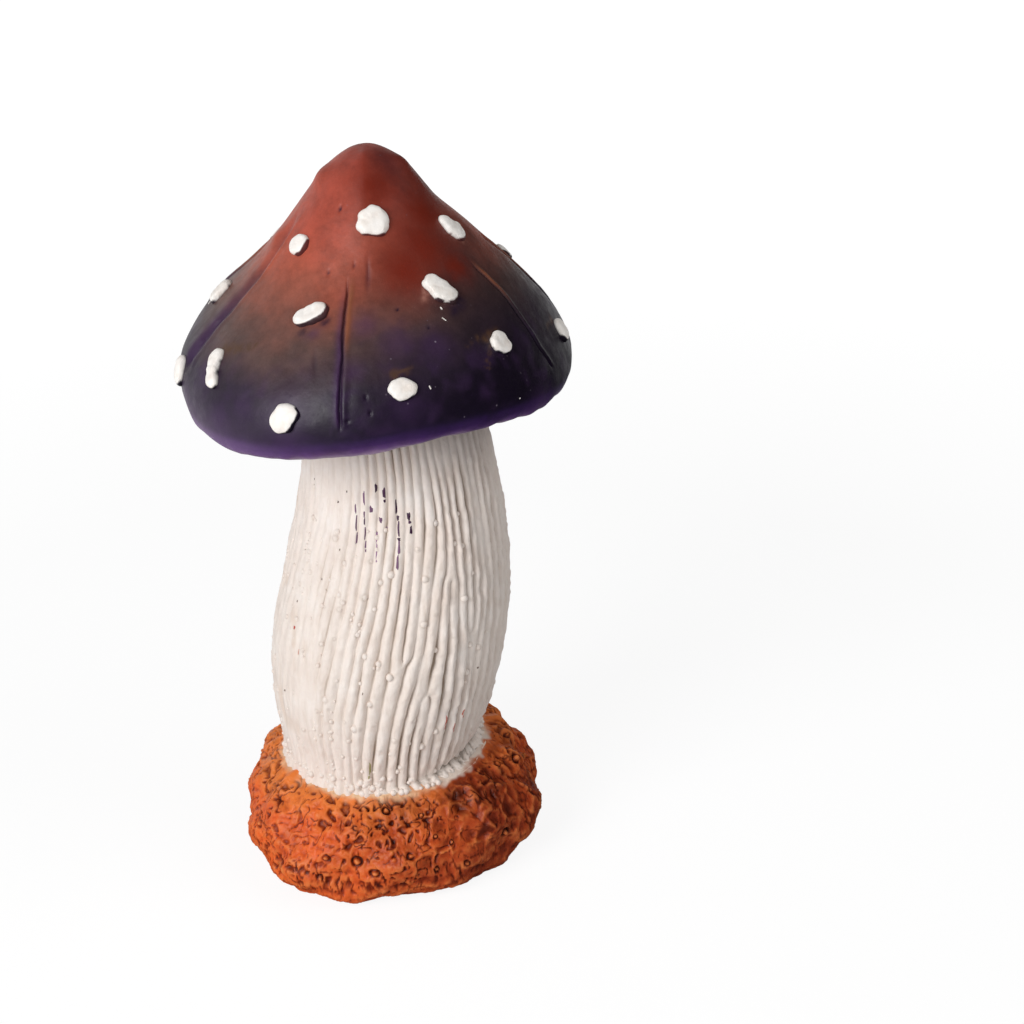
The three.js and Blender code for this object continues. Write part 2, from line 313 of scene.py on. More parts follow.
def coated(tree, colour, *coats, blend="MIX"):
    # coats laid one over the other: the share of each (a mask's name, a socket or a number) and its colour
    for share, paint in coats:
        if isinstance(share, str):
            share = addNode(tree, "Attribute", attribute_name=share).outputs["Fac"]
        if isinstance(paint, str):
            paint = toLinear(paint)
        mix = addNode(tree, "Mix", {0: share, 6: colour, 7: paint}, data_type="RGBA", blend_type=blend)
        colour = mix.outputs[2]
    return colour


def clouded(tree, where, size, detail, roughness, stops):
    # a paint's own unevenness: soft clouds of that size in mm, coloured by a ramp
    cloud = addNode(tree, "TexNoise", {
        "Vector": where, "Scale": perMm(size), "Detail": detail, "Roughness": roughness,
    })
    return addNode(tree, "ValToRGB", {"Fac": cloud.outputs["Fac"]}, stops=stops).outputs["Color"]


def finished(tree, shader, where, colour, size, height):
    # the colour, and the fine unevenness of the paint film as a bump of that size and height in mm
    tree.links.new(colour, shader.inputs["Base Color"])
    grain = addNode(tree, "TexNoise", {"Vector": where, "Scale": perMm(size), "Detail": 5, "Roughness": 0.6})
    bump = addNode(tree, "Bump", {"Height": grain.outputs["Fac"], "Distance": height * mm, "Strength": 0.6})
    tree.links.new(bump.outputs[0], shader.inputs["Normal"])
    return grain.outputs["Fac"]


# cap: bell-shaped dome with a rounded rim and a shallow hollow underneath

capShape = {
    "radius": 25.7, "rimHeight": 70.6, "lip": 3.3, "recess": 4.5,
    "domeShare": 0.51, "peakWidth": 0.45,  # the dome's share of the rise, and the peak's width in radii
    "oval": 0.07, "ovalTurn": 59, "tilt": -0.04, "trueInside": 0.37,
    "waves": [(2, 0.9, -47), (3, 0.73, 44)],  # lobes, height, direction
    "socket": 9.2, "ceiling": 8.6,
    "columns": 600, "underRows": 16, "lipRows": 20, "faceRows": 120,
    "crowd": (2.5, 3),  # spread and gain of the closer columns along the creases
    "lumps": [(7, 0.16), (2.6, 0.06), (1.1, 0.02)],  # size and height of the clay's unevenness
    # turn, fall, height and the two spreads in degrees
    "swells": [(12, 38, 0.5, 26, 15), (10, 20, -0.6, 30, 6), (-166, 77, 0.5, 14, 14)],
    "keel": (-91, 1.3, 22),  # turn, height and spread of the blunt edge down the front of the tip
    # low warts sprayed over with the cap: turn, fall, height and size in mm
    "bareWarts": {
        "bare_wart_01": (-166, 12.5, 0.55, 1.8),
        "bare_wart_02": (-19, 10, 0.55, 1.7),
        "bare_wart_03": (-171, 27.5, 0.4, 1.5),
    },
    "pinholes": [(-112, 18), (-97, 29), (-111, 31), (-78, 42), (-91, 73), (-90, 80), (-96, 82), (-68, 50)],
    "pinholeSize": 0.2, "pinholeDepth": 0.3,
    "rimSteps": 0.24,
    # creases: track of (fall, turn), depth, half width, offset and height of the raised line beside it,
    # the fall down to which that line is worn brown, and the share of violet in its stain
    "creases": [
        ([(31, -100), (45, -99), (56, -98), (87, -98)], 0.45, 0.16, (0.55, 0.14), 52, 0.65),
        ([(20, -160), (40, -159), (76, -157)], 0.45, 0.8, (1.4, 0.12), 0, 0.7),
        ([(33, -28), (44, -24), (70, -24), (83, -20)], 0.36, 0.15, (0.5, 0.16), 46, 0),
        ([(31, 7), (42, 15), (70, 17)], 0.5, 0.3, (0.8, 0.14), 52, 0),
        ([(38, 44), (60, 46), (84, 45)], 0.6, 0.3, (-0.8, 0.14), 48, 0.3),
        ([(32, 84), (60, 85), (87, 87)], 0.7, 0.25, (0.8, 0.16), 46, 0.4),
        ([(36, 131), (60, 130), (82, 129)], 0.5, 0.5, (0.9, 0.15), 44, 1),
        ([(30, 170), (60, 170), (86, 171)], 0.6, 0.3, (-0.8, 0.14), 48, 0.3),
        ([(26, -89), (38, -90)], 0.16, 0.3, (0.8, 0), 0, 0),
        ([(50, -108), (64, -105)], 0.1, 0.3, (0.8, 0), 0, 0),
    ],
    "creaseRunOut": 6,  # degrees of fall
}


def flank(fall):
    # r = R sin(fall), z = rise (share cos(fall) + (1 - share) exp(-(sin(fall) / width)^2)),
    # and the two parts of its outward normal
    rise = tipHeight - capShape["rimHeight"]
    out, up = np.sin(np.radians(fall)), np.cos(np.radians(fall))
    share, width = capShape["domeShare"], capShape["peakWidth"]
    peak = (1 - share) * bell(out, width)
    along = capShape["radius"] * up
    drop = rise * (share * out + peak * 2 * out * up / width ** 2)
    length = np.hypot(along, drop)
    return capShape["radius"] * out, rise * (share * up + peak), drop / length, along / length


def handShaped(turn, radius, height):
    # oval plan and tilted, waving rim, growing from the true middle outwards
    angle = np.radians(turn)
    x, y = polar(turn, radius)
    fade = ease(radius / capShape["radius"], capShape["trueInside"], 1)
    wave = capShape["tilt"] * x
    for lobes, size, direction in capShape["waves"]:
        wave = wave + size * np.cos(lobes * (angle - np.radians(direction)))
    grow = 1 + fade * capShape["oval"] * np.cos(2 * (angle - np.radians(capShape["ovalTurn"])))
    return np.stack([
        neckCentre[0] + x * grow, neckCentre[1] + y * grow, capShape["rimHeight"] + height + fade * wave,
    ], axis=-1)


def capRelief(turn, fall):
    # height of lumps, creases and pinholes above the plain face; masks of painted shade in the crease grooves
    # and pinholes, worn lines and stain
    c = capShape
    radius, height = flank(np.minimum(fall, 90))[:2]
    points = handShaped(turn, radius, height)
    relief = sum(size * noise(points, step, 3 + i) for i, (step, size) in enumerate(c["lumps"]))
    relief = relief + swollen(turn, fall, c["swells"])
    keelTurn, keelHeight, keelSpan = c["keel"]
    edge = np.exp(-np.sqrt(wrap(turn - keelTurn) ** 2 + 90) / keelSpan)
    relief = relief + keelHeight * edge * ease(fall, 1, 10) * (1 - ease(fall, 16, 36))
    for wartTurn, wartFall, size, spread in c["bareWarts"].values():
        centre = handShaped(np.array(wartTurn), *flank(wartFall)[:2])
        relief = relief + size * bell(np.linalg.norm(points - centre, axis=-1), spread)
    slotShade, worn, violet = (np.zeros_like(relief) for _ in range(3))
    wander = 0.14 * noise(points, 2.6, 11) + 0.05 * noise(points, 0.8, 12)
    ragged = 1 + 0.35 * noise(points, 1.4, 13)
    for track, depth, width, (offset, rise), wornTo, share in c["creases"]:
        falls, turns = zip(*track)
        side = np.radians(wrap(turn - np.interp(fall, falls, turns))) * radius + wander
        inside = ease(np.minimum(fall - falls[0], falls[-1] - fall), 0, c["creaseRunOut"])
        cut = inside * bell(side, width * ragged)
        edge = inside * bell(side - offset, 0.36)
        relief = relief - depth * cut + rise * edge
        strength = min(1, depth / 0.4)
        # painted shade down the crease's groove
        slotShade = np.maximum(slotShade, cut * strength * (1 - share))
        stain = inside * bell(side + 0.3, width * 1.3 + 0.35) * strength * share
        violet = np.maximum(violet, stain * ease(fall, 28, 56))
        worn = np.maximum(worn, edge * min(1, rise / 0.14) * (1 - ease(fall, wornTo - 8, wornTo + 6)))
    # pinholes are dug in and darkened as painted shade
    holes = [handShaped(np.array(t), *flank(f)[:2]) for t, f in c["pinholes"]]
    pits = spots(points, holes, [c["pinholeSize"]] * len(holes))
    return relief - c["pinholeDepth"] * pits, np.maximum(slotShade, pits), worn, violet


def onCap(turn, fall, proud=0.0):
    # a point on the cap's finished face, or that far above it
    radius, height, outwards, upwards = flank(fall)
    lift = capRelief(turn, fall)[0] + proud
    return handShaped(turn, radius + outwards * lift, height + upwards * lift)


# marks in the cap's paint: (turn, fall, size in mm); smudges run from one (turn, fall) to another
capMarks = {
    "violet": [(-110, 47, 1.0), (-91, 46, 1.8), (-30, 97, 3.0), (-95, 62, 1.4), (-80, 53, 2.4),
               (-68, 58, 2.4), (-112, 86, 2.6), (-126, 75, 2.0), (-80, 80, 2.4), (-145, 70, 2.2),
               (-55, 82, 1.1), (-134, 84, 2.2), (-113, 78, 3.4), (30, 72, 3), (60, 55, 3), (90, 64, 3),
               (125, 80, 3), (150, 55, 3)],
    "red": [(-80, 14, 3.0), (-55, 27, 5), (-40, 21, 3.4), (-69, 31, 4.4), (-40, 33, 2.4), (0, 16, 4),
            (60, 22, 4), (130, 28, 3)],
    "bare": [(-64, 38, 0.55), (-65, 40, 0.5), (-21, 29, 0.5)],
    # painted shadows below the lower right of warts 04 and 05
    "wartShadow": [(-55, 46, 0.7), (-52, 45, 0.8), (-49.5, 43, 0.7), (-115, 46.3, 0.6), (-106.5, 43.5, 0.6)],
    "smudge": [(-42, 58, -57, 60, 0.55), (-46, 60, -52, 71, 0.4), (-143, 58, -131, 52, 0.9),
               (-2, 65, -10, 65, 0.5), (-83, 66, -77, 65, 0.6), (30, 60, 22, 63, 0.6), (72, 36, 66, 40, 0.6),
               (112, 66, 104, 68, 0.6)],
}


def marksOnCap(points, name):
    # ragged soft marks; a smudge is a row of six that shrink
    centres, sizes = [], []
    for mark in capMarks[name]:
        steps = np.linspace(0, 1, 6 if len(mark) == 5 else 1)
        for step in steps:
            turn, fall = np.array(mark[:2]) + step * (np.array(mark[-3:-1]) - mark[:2])
            centres.append(onCap(np.array(turn), np.array(fall)))
            sizes.append(mark[-1] * (1 - 0.6 * step))
    return spots(jittered(points, 0.8, 0.5, 31), centres, sizes)


def capMasks(turn, fall, points):
    # masks for the paint; the colour bands sit lower on the left and higher on the right, and the right side
    # is darkened: painted light on the lit left, painted shade on the right
    _, slotShade, worn, violet = capRelief(turn, fall)
    streaks = noise(np.stack([turn * 0.38, fall * 0.12, 0 * turn], -1), 1.0, 36)
    cloudy = 0.7 * rough(jittered(points, 1.4, 0.9, 34), 2.6, 3, 33) + 0.5 * streaks
    mottle = ease(cloudy, -0.2, 1.1) * ease(fall, 50, 68) * (1 - ease(fall, 88, 98))
    # painted light: the bands reach lower on the lit left, and the shaded right turns darker sooner as
    # painted shade
    lower = (5 * towards(turn, -128, 42) - 9 * towards(turn, -32, 40)) * (1 - ease(fall, 50, 80))
    dusty = towards(turn, -62, 22) * ease(fall, 42, 55) + towards(turn, -76, 30) * bell(fall - 10, 8)
    # painted shade over the right side, fading out round the lip, and on the right of the tip
    rightShade = 0.54 * towards(turn, -40, 46) * ease(fall, -2, 8) * (1 - 0.9 * ease(fall, 84, 104))
    return {
        "fall": (fall - lower) / 90, "worn": worn, "dusty": dusty + towards(turn, 90, 40),
        # crease grooves and pinholes darkened as painted shade, with the painted shadows under warts 04 and
        # 05
        "slotShade": np.maximum(slotShade, 0.8 * marksOnCap(points, "wartShadow")),
        "violet": np.maximum(violet, np.maximum(0.42 * marksOnCap(points, "violet"), 0.36 * mottle)),
        # painted highlight on the lower left rim
        "rimHighlight": 0.7 * towards(turn, -168, 46) * ease(fall, 72, 115),
        "rightShade": rightShade + 0.2 * towards(turn, -50, 34) * bell(fall - 8, 6),
        **{name: marksOnCap(points, name) for name in ("red", "smudge", "bare")},
    }


def capSkin():
    # profile: socket's ceiling, down its wall, out under the cap, round the lip, up the face to the tip
    lip, recess, widest = capShape["lip"], capShape["recess"], capShape["radius"]
    socket, ceiling = capShape["socket"], capShape["ceiling"]
    under = np.linspace(socket, widest - lip, capShape["underRows"])
    underHeight = recess * (1 - (under / (widest - lip)) ** 2) - lip
    bend = np.radians(np.linspace(-90, 0, capShape["lipRows"], endpoint=False)[1:])
    falls = np.linspace(90, 0.8, capShape["faceRows"])
    faceRadius, faceHeight, faceOut, faceUp = flank(falls)
    profile = [
        np.concatenate([[socket, socket], under[1:], widest + lip * (np.cos(bend) - 1), faceRadius]),
        np.concatenate([[ceiling], underHeight, lip * np.sin(bend), faceHeight]),
        np.concatenate([np.zeros(len(under) + 1), np.cos(bend), faceOut]),
        np.concatenate([[0], -np.ones(len(under)), np.sin(bend), faceUp]),
    ]
    fall = np.concatenate([[200, 200], np.linspace(200, 180, len(under))[1:], 90 - np.degrees(bend), falls])
    busy = [np.mean([turn for _, turn in track]) for track, *_ in capShape["creases"]]
    turns = crowdedTurns(capShape["columns"], busy, *capShape["crowd"])
    turn, fall = np.meshgrid(turns, fall)
    radius, height, outwards, upwards = (np.tile(row[:, None], len(turns)) for row in profile)
    plain = handShaped(turn, radius, height)
    steps = capShape["rimSteps"] * rough(plain * (1, 1, 0.2), 3, 2, 21) * ease(fall, 100, 150)
    lift = np.where(fall < 199, capRelief(turn, fall)[0] * (1 - ease(fall, 100, 180)) + steps, 0)
    points = handShaped(turn, radius + outwards * lift, height + upwards * lift)
    tip = onCap(np.array(0.0), np.array(0.0))
    middle = handShaped(np.array(0.0), np.array(0.0), np.array(ceiling))
    return loopGrid(points, np.stack([middle, tip]), **capMasks(turn, fall, points))


def airbrushed(tree, where):
    # sprayed colours from red tip through brown to near-black and a violet rim, by the fall and soft noise
    cloud = addNode(tree, "TexNoise", {"Vector": where, "Scale": perMm(9), "Detail": 3})
    drift = addNode(tree, "MapRange", {0: cloud.outputs["Fac"], 1: 0.3, 2: 0.7, 3: -0.03, 4: 0.03})
    fall = addNode(tree, "Attribute", attribute_name="fall").outputs["Fac"]
    half = addNode(tree, "Math", {0: fall, 1: 0.5, 2: drift.outputs[0]}, operation="MULTIPLY_ADD")
    # the lip's underside turns paler violet (stops 0.74 and 0.86): painted light bounced up from the floor
    ramp = addNode(tree, "ValToRGB", {"Fac": half.outputs[0]}, stops=[
        (0.0, "#9a3f30"), (0.1, "#ac4c39"), (0.16, "#ab543f"), (0.2, "#93503f"), (0.24, "#744a40"),
        (0.28, "#5a423e"), (0.33, "#443238"), (0.39, "#2b1e2f"), (0.44, "#1b0f24"), (0.48, "#170a24"),
        (0.52, "#1f0d33"), (0.57, "#2c1048"), (0.64, "#3a1859"), (0.74, "#5e387a"), (0.86, "#957a9d"),
        (1.0, "#4a2c5c"),
    ])
    patch = addNode(tree, "TexNoise", {"Vector": where, "Scale": perMm(3.5), "Detail": 8, "Roughness": 0.72})
    mottle = addNode(tree, "MapRange", {0: patch.outputs["Fac"], 1: 0.3, 2: 0.7, 3: 0.7, 4: 1.32})
    return coated(tree, ramp.outputs["Color"], (1.0, mottle.outputs[0]), blend="MULTIPLY")


def capPaint():
    # airbrushed acrylic over cast resin: satin, cloudy where colours meet, creases darkened as painted shade,
    # worn raised lines, painted shade on the right and a painted highlight on the left rim
    material, tree, shader, where = newMaterial("airbrushed_acrylic_satin", 0.45)
    shader.inputs["Specular IOR Level"].default_value = 0.42
    flecks = addNode(tree, "TexVoronoi", {"Vector": where, "Scale": perMm(1.5)})
    fleck = addNode(tree, "MapRange", {0: flecks.outputs["Distance"], 1: 0.05, 2: 0.1, 3: 0.8, 4: 0})
    dusty = addNode(tree, "Attribute", attribute_name="dusty").outputs["Fac"]
    dust = addNode(tree, "Math", {0: fleck.outputs[0], 1: dusty}, operation="MULTIPLY").outputs[0]
    # laid on here: the right side's painted shade, the lip's painted highlight, and painted shade and shadows
    # in creases, pinholes and under warts
    colour = coated(
        tree, airbrushed(tree, where), ("rightShade", "#140a1b"), ("red", "#751f0b"), ("rimHighlight", "#93749f"),
        ("violet", "#432553"), ("smudge", "#553a29"), ("bare", "#a06a5c"), ("worn", "#8a4f36"),
        ("slotShade", "#20112c"), (dust, "#8b7f8e"),
    )
    brush = finished(tree, shader, where, colour, 1.2, 0.1)
    gloss = addNode(tree, "MapRange", {0: brush, 1: 0.3, 2: 0.7, 3: 0.4, 4: 0.54})
    tree.links.new(gloss.outputs[0], shader.inputs["Roughness"])
    return material


paintOnCap = capPaint()
makePiece("painted_cap", [capSkin()], paintOnCap, "cap_paint", "cap")


# warts by number: (turn, fall), the bare side's shift, and the outline, which is a union of discs
# (sideways, up the slope, radius) or an oblong (length, width, roll)
warts = {
    1: ((-85, 20.5), (0.15, -0.25),
        [(0.45, 0.55, 1.35), (-0.75, -0.55, 1.15), (0.45, -0.45, 1.4), (-0.2, 0.2, 1.45)]),
    2: ((-22, 25.5), (0.1, -0.35), [(-0.6, 1.05, 0.9), (-0.4, 0.2, 1.05), (0.3, -0.75, 1.25)]),
    3: ((-137, 26), (0.4, -0.25), [(-0.25, -0.2, 1.12), (0, 0.1, 1.12), (0.5, 0.8, 0.45)]),
    4: ((-57, 38.5), (0.3, -0.5),
        [(-0.45, 0.95, 1.25), (0.1, -0.1, 1.5), (0.7, -0.95, 1.25), (-1.4, 1.35, 0.55)]),
    5: ((-114, 41), (0.45, -0.4), [(-0.9, -0.5, 1.0), (0, 0, 1.1), (0.85, 0.5, 1.0)]),
    6: ((-176.5, 50.5), (0.2, -0.3), (3.6, 1.8, 10)),
    7: ((-142, 65), (0.15, -0.15),
        [(-0.7, 1.2, 1.0), (-0.35, 0.5, 0.8), (0.05, -0.3, 0.8), (0.7, -1.4, 0.92)]),
    8: ((-161, 79), (0.2, -0.4), (3.3, 2.0, 0)),
    9: ((-113, 78), (0.42, -0.12),
        [(0.05, 0.5, 1.25), (-0.25, -0.35, 1.4), (-0.5, -1.0, 0.85), (0.7, 0.3, 0.85)]),
    10: ((-81, 72), (0.1, -0.25), [(-0.9, 0.35, 0.8), (-0.05, 0, 1.3), (0.85, -0.1, 0.9)]),
    11: ((-43, 62), (0.15, -0.3), [(0.3, 0.2, 1.3), (0.35, -0.4, 1.15), (-0.4, -0.1, 1.15)]),
    12: ((-1, 71.5), (-0.2, -0.3), (2.9, 2.2, 0)),
    13: ((24, 43.5), (-0.3, -0.3), (2.8, 1.8, 40)),
    14: ((72, 80), (0.2, -0.3), (3.6, 2.9, 30)),
    15: ((56, 25), (0.2, -0.3), (3.6, 3.0, -25)),
    16: ((62, 64), (0.3, -0.3), (4.4, 2.7, 70)),
    17: ((68, 42), (0.1, -0.35), (4.0, 3.3, 15)),
    18: ((100, 26), (0.3, -0.3), (4.2, 2.8, -50)),
    19: ((102, 73), (0.1, -0.25), (3.4, 3.2, 0)),
    20: ((118, 46), (0.3, -0.4), (4.8, 2.8, 40)),
    21: ((147, 70), (0.1, -0.3), (4.2, 3.0, -20)),
    22: ((149, 34), (0.3, -0.3), (3.2, 2.8, 0)),
}
wartShape = {
    "height": 0.85, "lower": {13: 0.55, 15: 0.6, 22: 0.5},  # mm above the cap, and the lower ones by number
    "sunk": 0.2, "rings": 20, "spokes": 72, "lumps": 0.1, "wobble": 0.1,
    "flatTop": 7, "join": 14,  # powers of the dome and of the smooth maximum that joins the discs
    "film": 0.05, "filmSpokes": 48, "filmRings": [0.9, 1, 0.85, 0.65, 0.45, 0.25, 0.1],  # over a bare wart
    # splashes of the same white paint: turn, fall, length, width, roll, mm
    "splashes": [(-60, 44.5, 0.45, 0.2, 10), (-61, 48.5, 0.75, 0.16, 35), (-73, 74, 0.55, 0.2, 20),
                 (-178, 57, 1.0, 0.24, 15), (-42, 89, 0.18, 0.16, 0), (70, 46, 0.8, 0.26, 0),
                 (124, 52, 0.6, 0.26, 15), (104, 80, 0.4, 0.26, 0)],
    "splashHeight": 0.12,
}


def outlineDiscs(outline):
    # an oblong is three discs in a row
    outline = np.array(outline, float)
    if outline.ndim == 2:
        return outline
    long, wide, roll = outline
    roll = np.radians(roll)
    reach = (long - wide) / 2 * np.array([-1, 0, 1])
    return np.stack([-np.sin(roll) * reach, np.cos(roll) * reach, np.full(3, wide / 2)], -1)


def onSlope(at, place):
    # turn and fall of places sideways and up the slope from a point of the cap, mm
    turn, fall = at
    radius, z = flank(np.array([fall - 0.5, fall + 0.5]))[:2]
    perDegree = np.hypot(np.diff(radius), np.diff(z))[0]
    return turn + np.degrees(place[..., 0] / max(flank(fall)[0], 1)), fall - place[..., 1] / perDegree


def wartSkin(at, outline, height, seed, bare=None):
    # polar grid: the edge is a smooth maximum of the discs' reaches, the height at share p is (1 - p^n)^0.5
    w = wartShape
    dab = outlineDiscs(outline)
    lump = dab if bare is None else np.vstack([dab, dab + (*bare, 0)])
    middle = dab[:, :2].mean(axis=0)
    angle = np.linspace(0, 2 * np.pi, w["spokes"], endpoint=False)
    heading = np.stack([np.cos(angle), np.sin(angle)], -1)
    ahead = heading @ (lump[:, :2] - middle).T
    gap = lump[:, 2] ** 2 - ((lump[:, :2] - middle) ** 2).sum(-1) + ahead ** 2
    reach = np.where(gap > 0, np.maximum(ahead + np.sqrt(np.maximum(gap, 0)), 0.05), 0.05)
    edge = (reach ** w["join"]).sum(axis=-1) ** (1 / w["join"])
    for _ in range(2):
        edge = (edge + np.roll(edge, 1) + np.roll(edge, -1)) / 3
    out = np.concatenate([[0.9, 1], np.sin(np.linspace(np.pi / 2, 0.06, w["rings"]))[1:]])
    place = middle + heading * (edge[:, None] * out[:, None, None])
    local = np.concatenate([place, np.full(place.shape[:2] + (1,), seed * 9.7)], axis=-1)
    place = middle + (place - middle) * (1 + w["wobble"] * noise(local, 0.8, seed))[..., None]
    dome = np.sqrt(np.clip(1 - out ** w["flatTop"], 0, 1))[:, None]
    lumps = 1 + w["lumps"] * noise(local, 1.2, seed + 1) + 0.05 * noise(local, 0.5, seed + 2)
    crown = spots(place, dab[:, :2], dab[:, 2] * 1.2)
    proud = height * dome * (0.75 + 0.25 * crown) * lumps - w["sunk"] * (1 - ease(dome, 0, 0.25))
    proud[0] = -w["sunk"] - 0.1
    turns, falls = onSlope(at, place)
    points = onCap(turns, falls, proud)
    within = dab[:, 2] - np.linalg.norm(place[..., None, :] - dab[:, :2], axis=-1)
    inside = np.log(np.exp(6 * within).sum(axis=-1)) / 6 + 0.08 * noise(local, 0.5, seed + 3)
    painted = ease(inside, -0.16, -0.06) * ease(proud, -0.05, 0.12)
    return loopGrid(points, endMiddles(points), painted=painted, fall=falls / 90)


def bareSkin(at, size):
    # thin film lying on the cap's own swelling, its edge just under the surface
    angle = np.linspace(0, 2 * np.pi, wartShape["filmSpokes"], endpoint=False)
    out = np.array(wartShape["filmRings"])[:, None]
    place = size * np.stack([out * np.cos(angle), out * np.sin(angle)], -1)
    proud = wartShape["film"] * (0.6 - out ** 2) * np.ones(len(angle))
    proud[0] = -0.3
    turns, falls = onSlope(at, place)
    points = onCap(turns, falls, proud)
    return loopGrid(points, endMiddles(points), **capMasks(turns, falls, points))


def wartPaint():
    # thick white acrylic dabbed on by brush over the sprayed lump: satin, faintly lumpy, sides left bare
    material, tree, shader, where = newMaterial("dabbed_white_acrylic", 0.5)
    white = clouded(tree, where, 1.4, 4, 0.5, [(0.3, "#f3e9e0"), (0.5, "#fbf5ef"), (0.75, "#fdf9f5")])
    # the bare sides show the cap's colours darkened towards near-black: painted shade on the warts' lower
    # right flanks
    colour = coated(tree, airbrushed(tree, where), (0.72, "#180c24"), ("painted", white))
    finished(tree, shader, where, colour, 0.5, 0.08)
    return material


paintOnWarts = wartPaint()
for number, (at, bare, outline) in warts.items():
    name = f"white_wart_{number:02}"
    height = wartShape["lower"].get(number, wartShape["height"])
    skin = wartSkin(at, outline, height, 195 + 5 * number, bare)
    makePiece("dabbed_" + name, [skin], paintOnWarts, "wart_paint", name)
for name, (turn, fall, _, size) in capShape["bareWarts"].items():
    makePiece("sprayed_" + name, [bareSkin((turn, fall), size)], paintOnCap, "cap_paint", name)
dots = []
for number, (turn, fall, *outline) in enumerate(wartShape["splashes"]):
    dots.append(wartSkin((turn, fall), outline, wartShape["splashHeight"], 400 + 5 * number))
makePiece("white_paint_splashes", dots, paintOnWarts, "wart_paint")


# stem: ribbed barrel that leans and bows

# where the filler below makes a hollow ledge: 1 at that turn, falling off over the spread
ledge = {"turn": -25, "spread": 38}


def ledgeShare(turn):
    return towards(turn, ledge["turn"], ledge["spread"])


stemShape = {
    "length": 54.9, "seat": 15.0, "foot": 13.2, "neck": 11.6, "swell": 3.2,
    "bellyAt": 0.35, "bellyLower": 1.4, "bellyUpper": 2.6, "footDrop": 1.2, "footShare": 0.06, "flare": 0.35,
    "lean": (3.47, 1.25), "bow": 16.5,
    "drift": (6, -112, 40),  # the ribs' sideways drift from foot to neck, degrees either way, and where
    "ribs": 62, "ribHeight": 0.62, "ribFade": 0.015, "start": -0.024,
    # layers of noise: the ribs' wavering in radians, their uneven and knobbly height,
    # the fine skin in mm, and what the worn side adds to it
    "waver": [(0.9, 0.25, 4.5, 41), (1.35, 0.12, 2.1, 42), (0.28, 0.8, 0.9, 39)],
    "uneven": [(0.6, 0.1, 1.7, 43), (0.4, 0.5, 3.5, 44)],
    "knobs": [(0.2, 0.7, 0.9, 45), (0.16, 1, 0.5, 38)],
    "fine": [(0.05, 0.2, 0.6, 46), (0.06, 1, 1.1, 47), (0.12, 1, 6, 48)],
    "wornFine": [(0.05, 0.2, 0.6, 46), (0.14, 0.6, 2, 50)],
    "columns": 540, "rows": 164, "crowd": ([-90], 50, 1.0),  # columns are closer at the front
    "footSpigot": (10.1, 8.4), "neckSpigot": (8, 9),  # radius and length
    # places where a rib splits or two merge: turn, height, and which way
    "splits": [(-68, 29, 1), (-82, 35, -1), (-60, 45, 1), (-47, 37, -1), (20, 40, 1),
               (45, 30, -1), (80, 50, 1), (110, 36, -1), (140, 44, 1), (165, 30, -1)],
    "wornSide": (-160, 56, 0.82),  # turn, width and share by which the worn side's ribs are lower
}


def stemRadius(t, turn):
    # straight taper plus a swell (t / at)^a ((1 - t) / (1 - at))^b;
    # the foot flares, but rounds in above the ledge
    s = stemShape
    below, above = np.maximum(t, 0) / s["bellyAt"], (1 - t) / (1 - s["bellyAt"])
    swell = s["swell"] * (below ** s["bellyLower"] * above ** s["bellyUpper"])
    foot = s["flare"] - (s["flare"] + s["footDrop"]) * ledgeShare(turn)
    taper = s["foot"] + (s["neck"] - s["foot"]) * t
    return taper + swell + foot * np.maximum(0, 1 - t / s["footShare"]) ** 2


def stemAxis(t):
    # middle of the stem at a share t of its length: a lean, and a bow t^2 (1 - t)
    x = stemShape["lean"][0] * t + stemShape["bow"] * t * t * (1 - t)
    return footCentre[0] + x, footCentre[1] + stemShape["lean"][1] * t * t


def stemLevel(height):
    # share of the stem's length at a height in mm
    return (height - stemShape["seat"]) / stemShape["length"]


def onStem(turn, t, lift=0.0):
    # a point on the stem's plain wall, or that far above it
    axis = stemAxis(t)
    x, y = polar(turn, stemRadius(t, turn) + lift)
    return np.stack([axis[0] + x, axis[1] + y, stemShape["seat"] + stemShape["length"] * t + 0 * x], axis=-1)


def ribRelief(turn, t):
    # ribs from s = |sin(phase / 2)|, halfway between s^2 and a steeper step; the phase drifts with the stem,
    # wavers, and gains or loses a rib at each split
    s = stemShape
    points = onStem(turn, t)
    most, driftTurn, driftWidth = s["drift"]
    drift = most * (2 * ease(t, 0.12, 0.8) - 1) * towards(turn, driftTurn, driftWidth)
    phase = s["ribs"] * np.radians(turn - drift) + layered(points, s["waver"])
    for splitTurn, height, way in s["splits"]:
        away = np.radians(turn - splitTurn) + 1j * (t - stemLevel(height)) * s["length"] / 15
        phase = phase + way * np.angle(np.sin(away / 2))
    side = np.abs(np.sin(phase / 2))
    wave = 0.5 * ease(side, 0.05, 0.8) + 0.5 * side ** 2
    wornTurn, wornWidth, wornShare = s["wornSide"]
    worn = towards(turn, wornTurn, wornWidth)
    uneven = 0.95 - 0.45 * ease(t, 0.5, 0.95) + layered(points, s["uneven"])
    knobs = 1 + layered(points, s["knobs"])
    strength = (1 - wornShare * worn) * np.clip(uneven, 0.2, 1.5) * ease(1 - t, 0, s["ribFade"])
    fine = layered(points, s["fine"]) + worn * layered(points, s["wornFine"])
    relief = s["ribHeight"] * strength * (wave * knobs - 0.5) + fine
    # mask of the groove bottoms, where brown wash and painted shade are laid
    narrow = 1 - ease(side, 0.05, 0.55)
    groove = narrow * np.clip(strength, 0, 1.2) * (0.75 + 0.45 * noise(points * (1, 1, 0.3), 2.4, 52))
    return relief, groove, worn


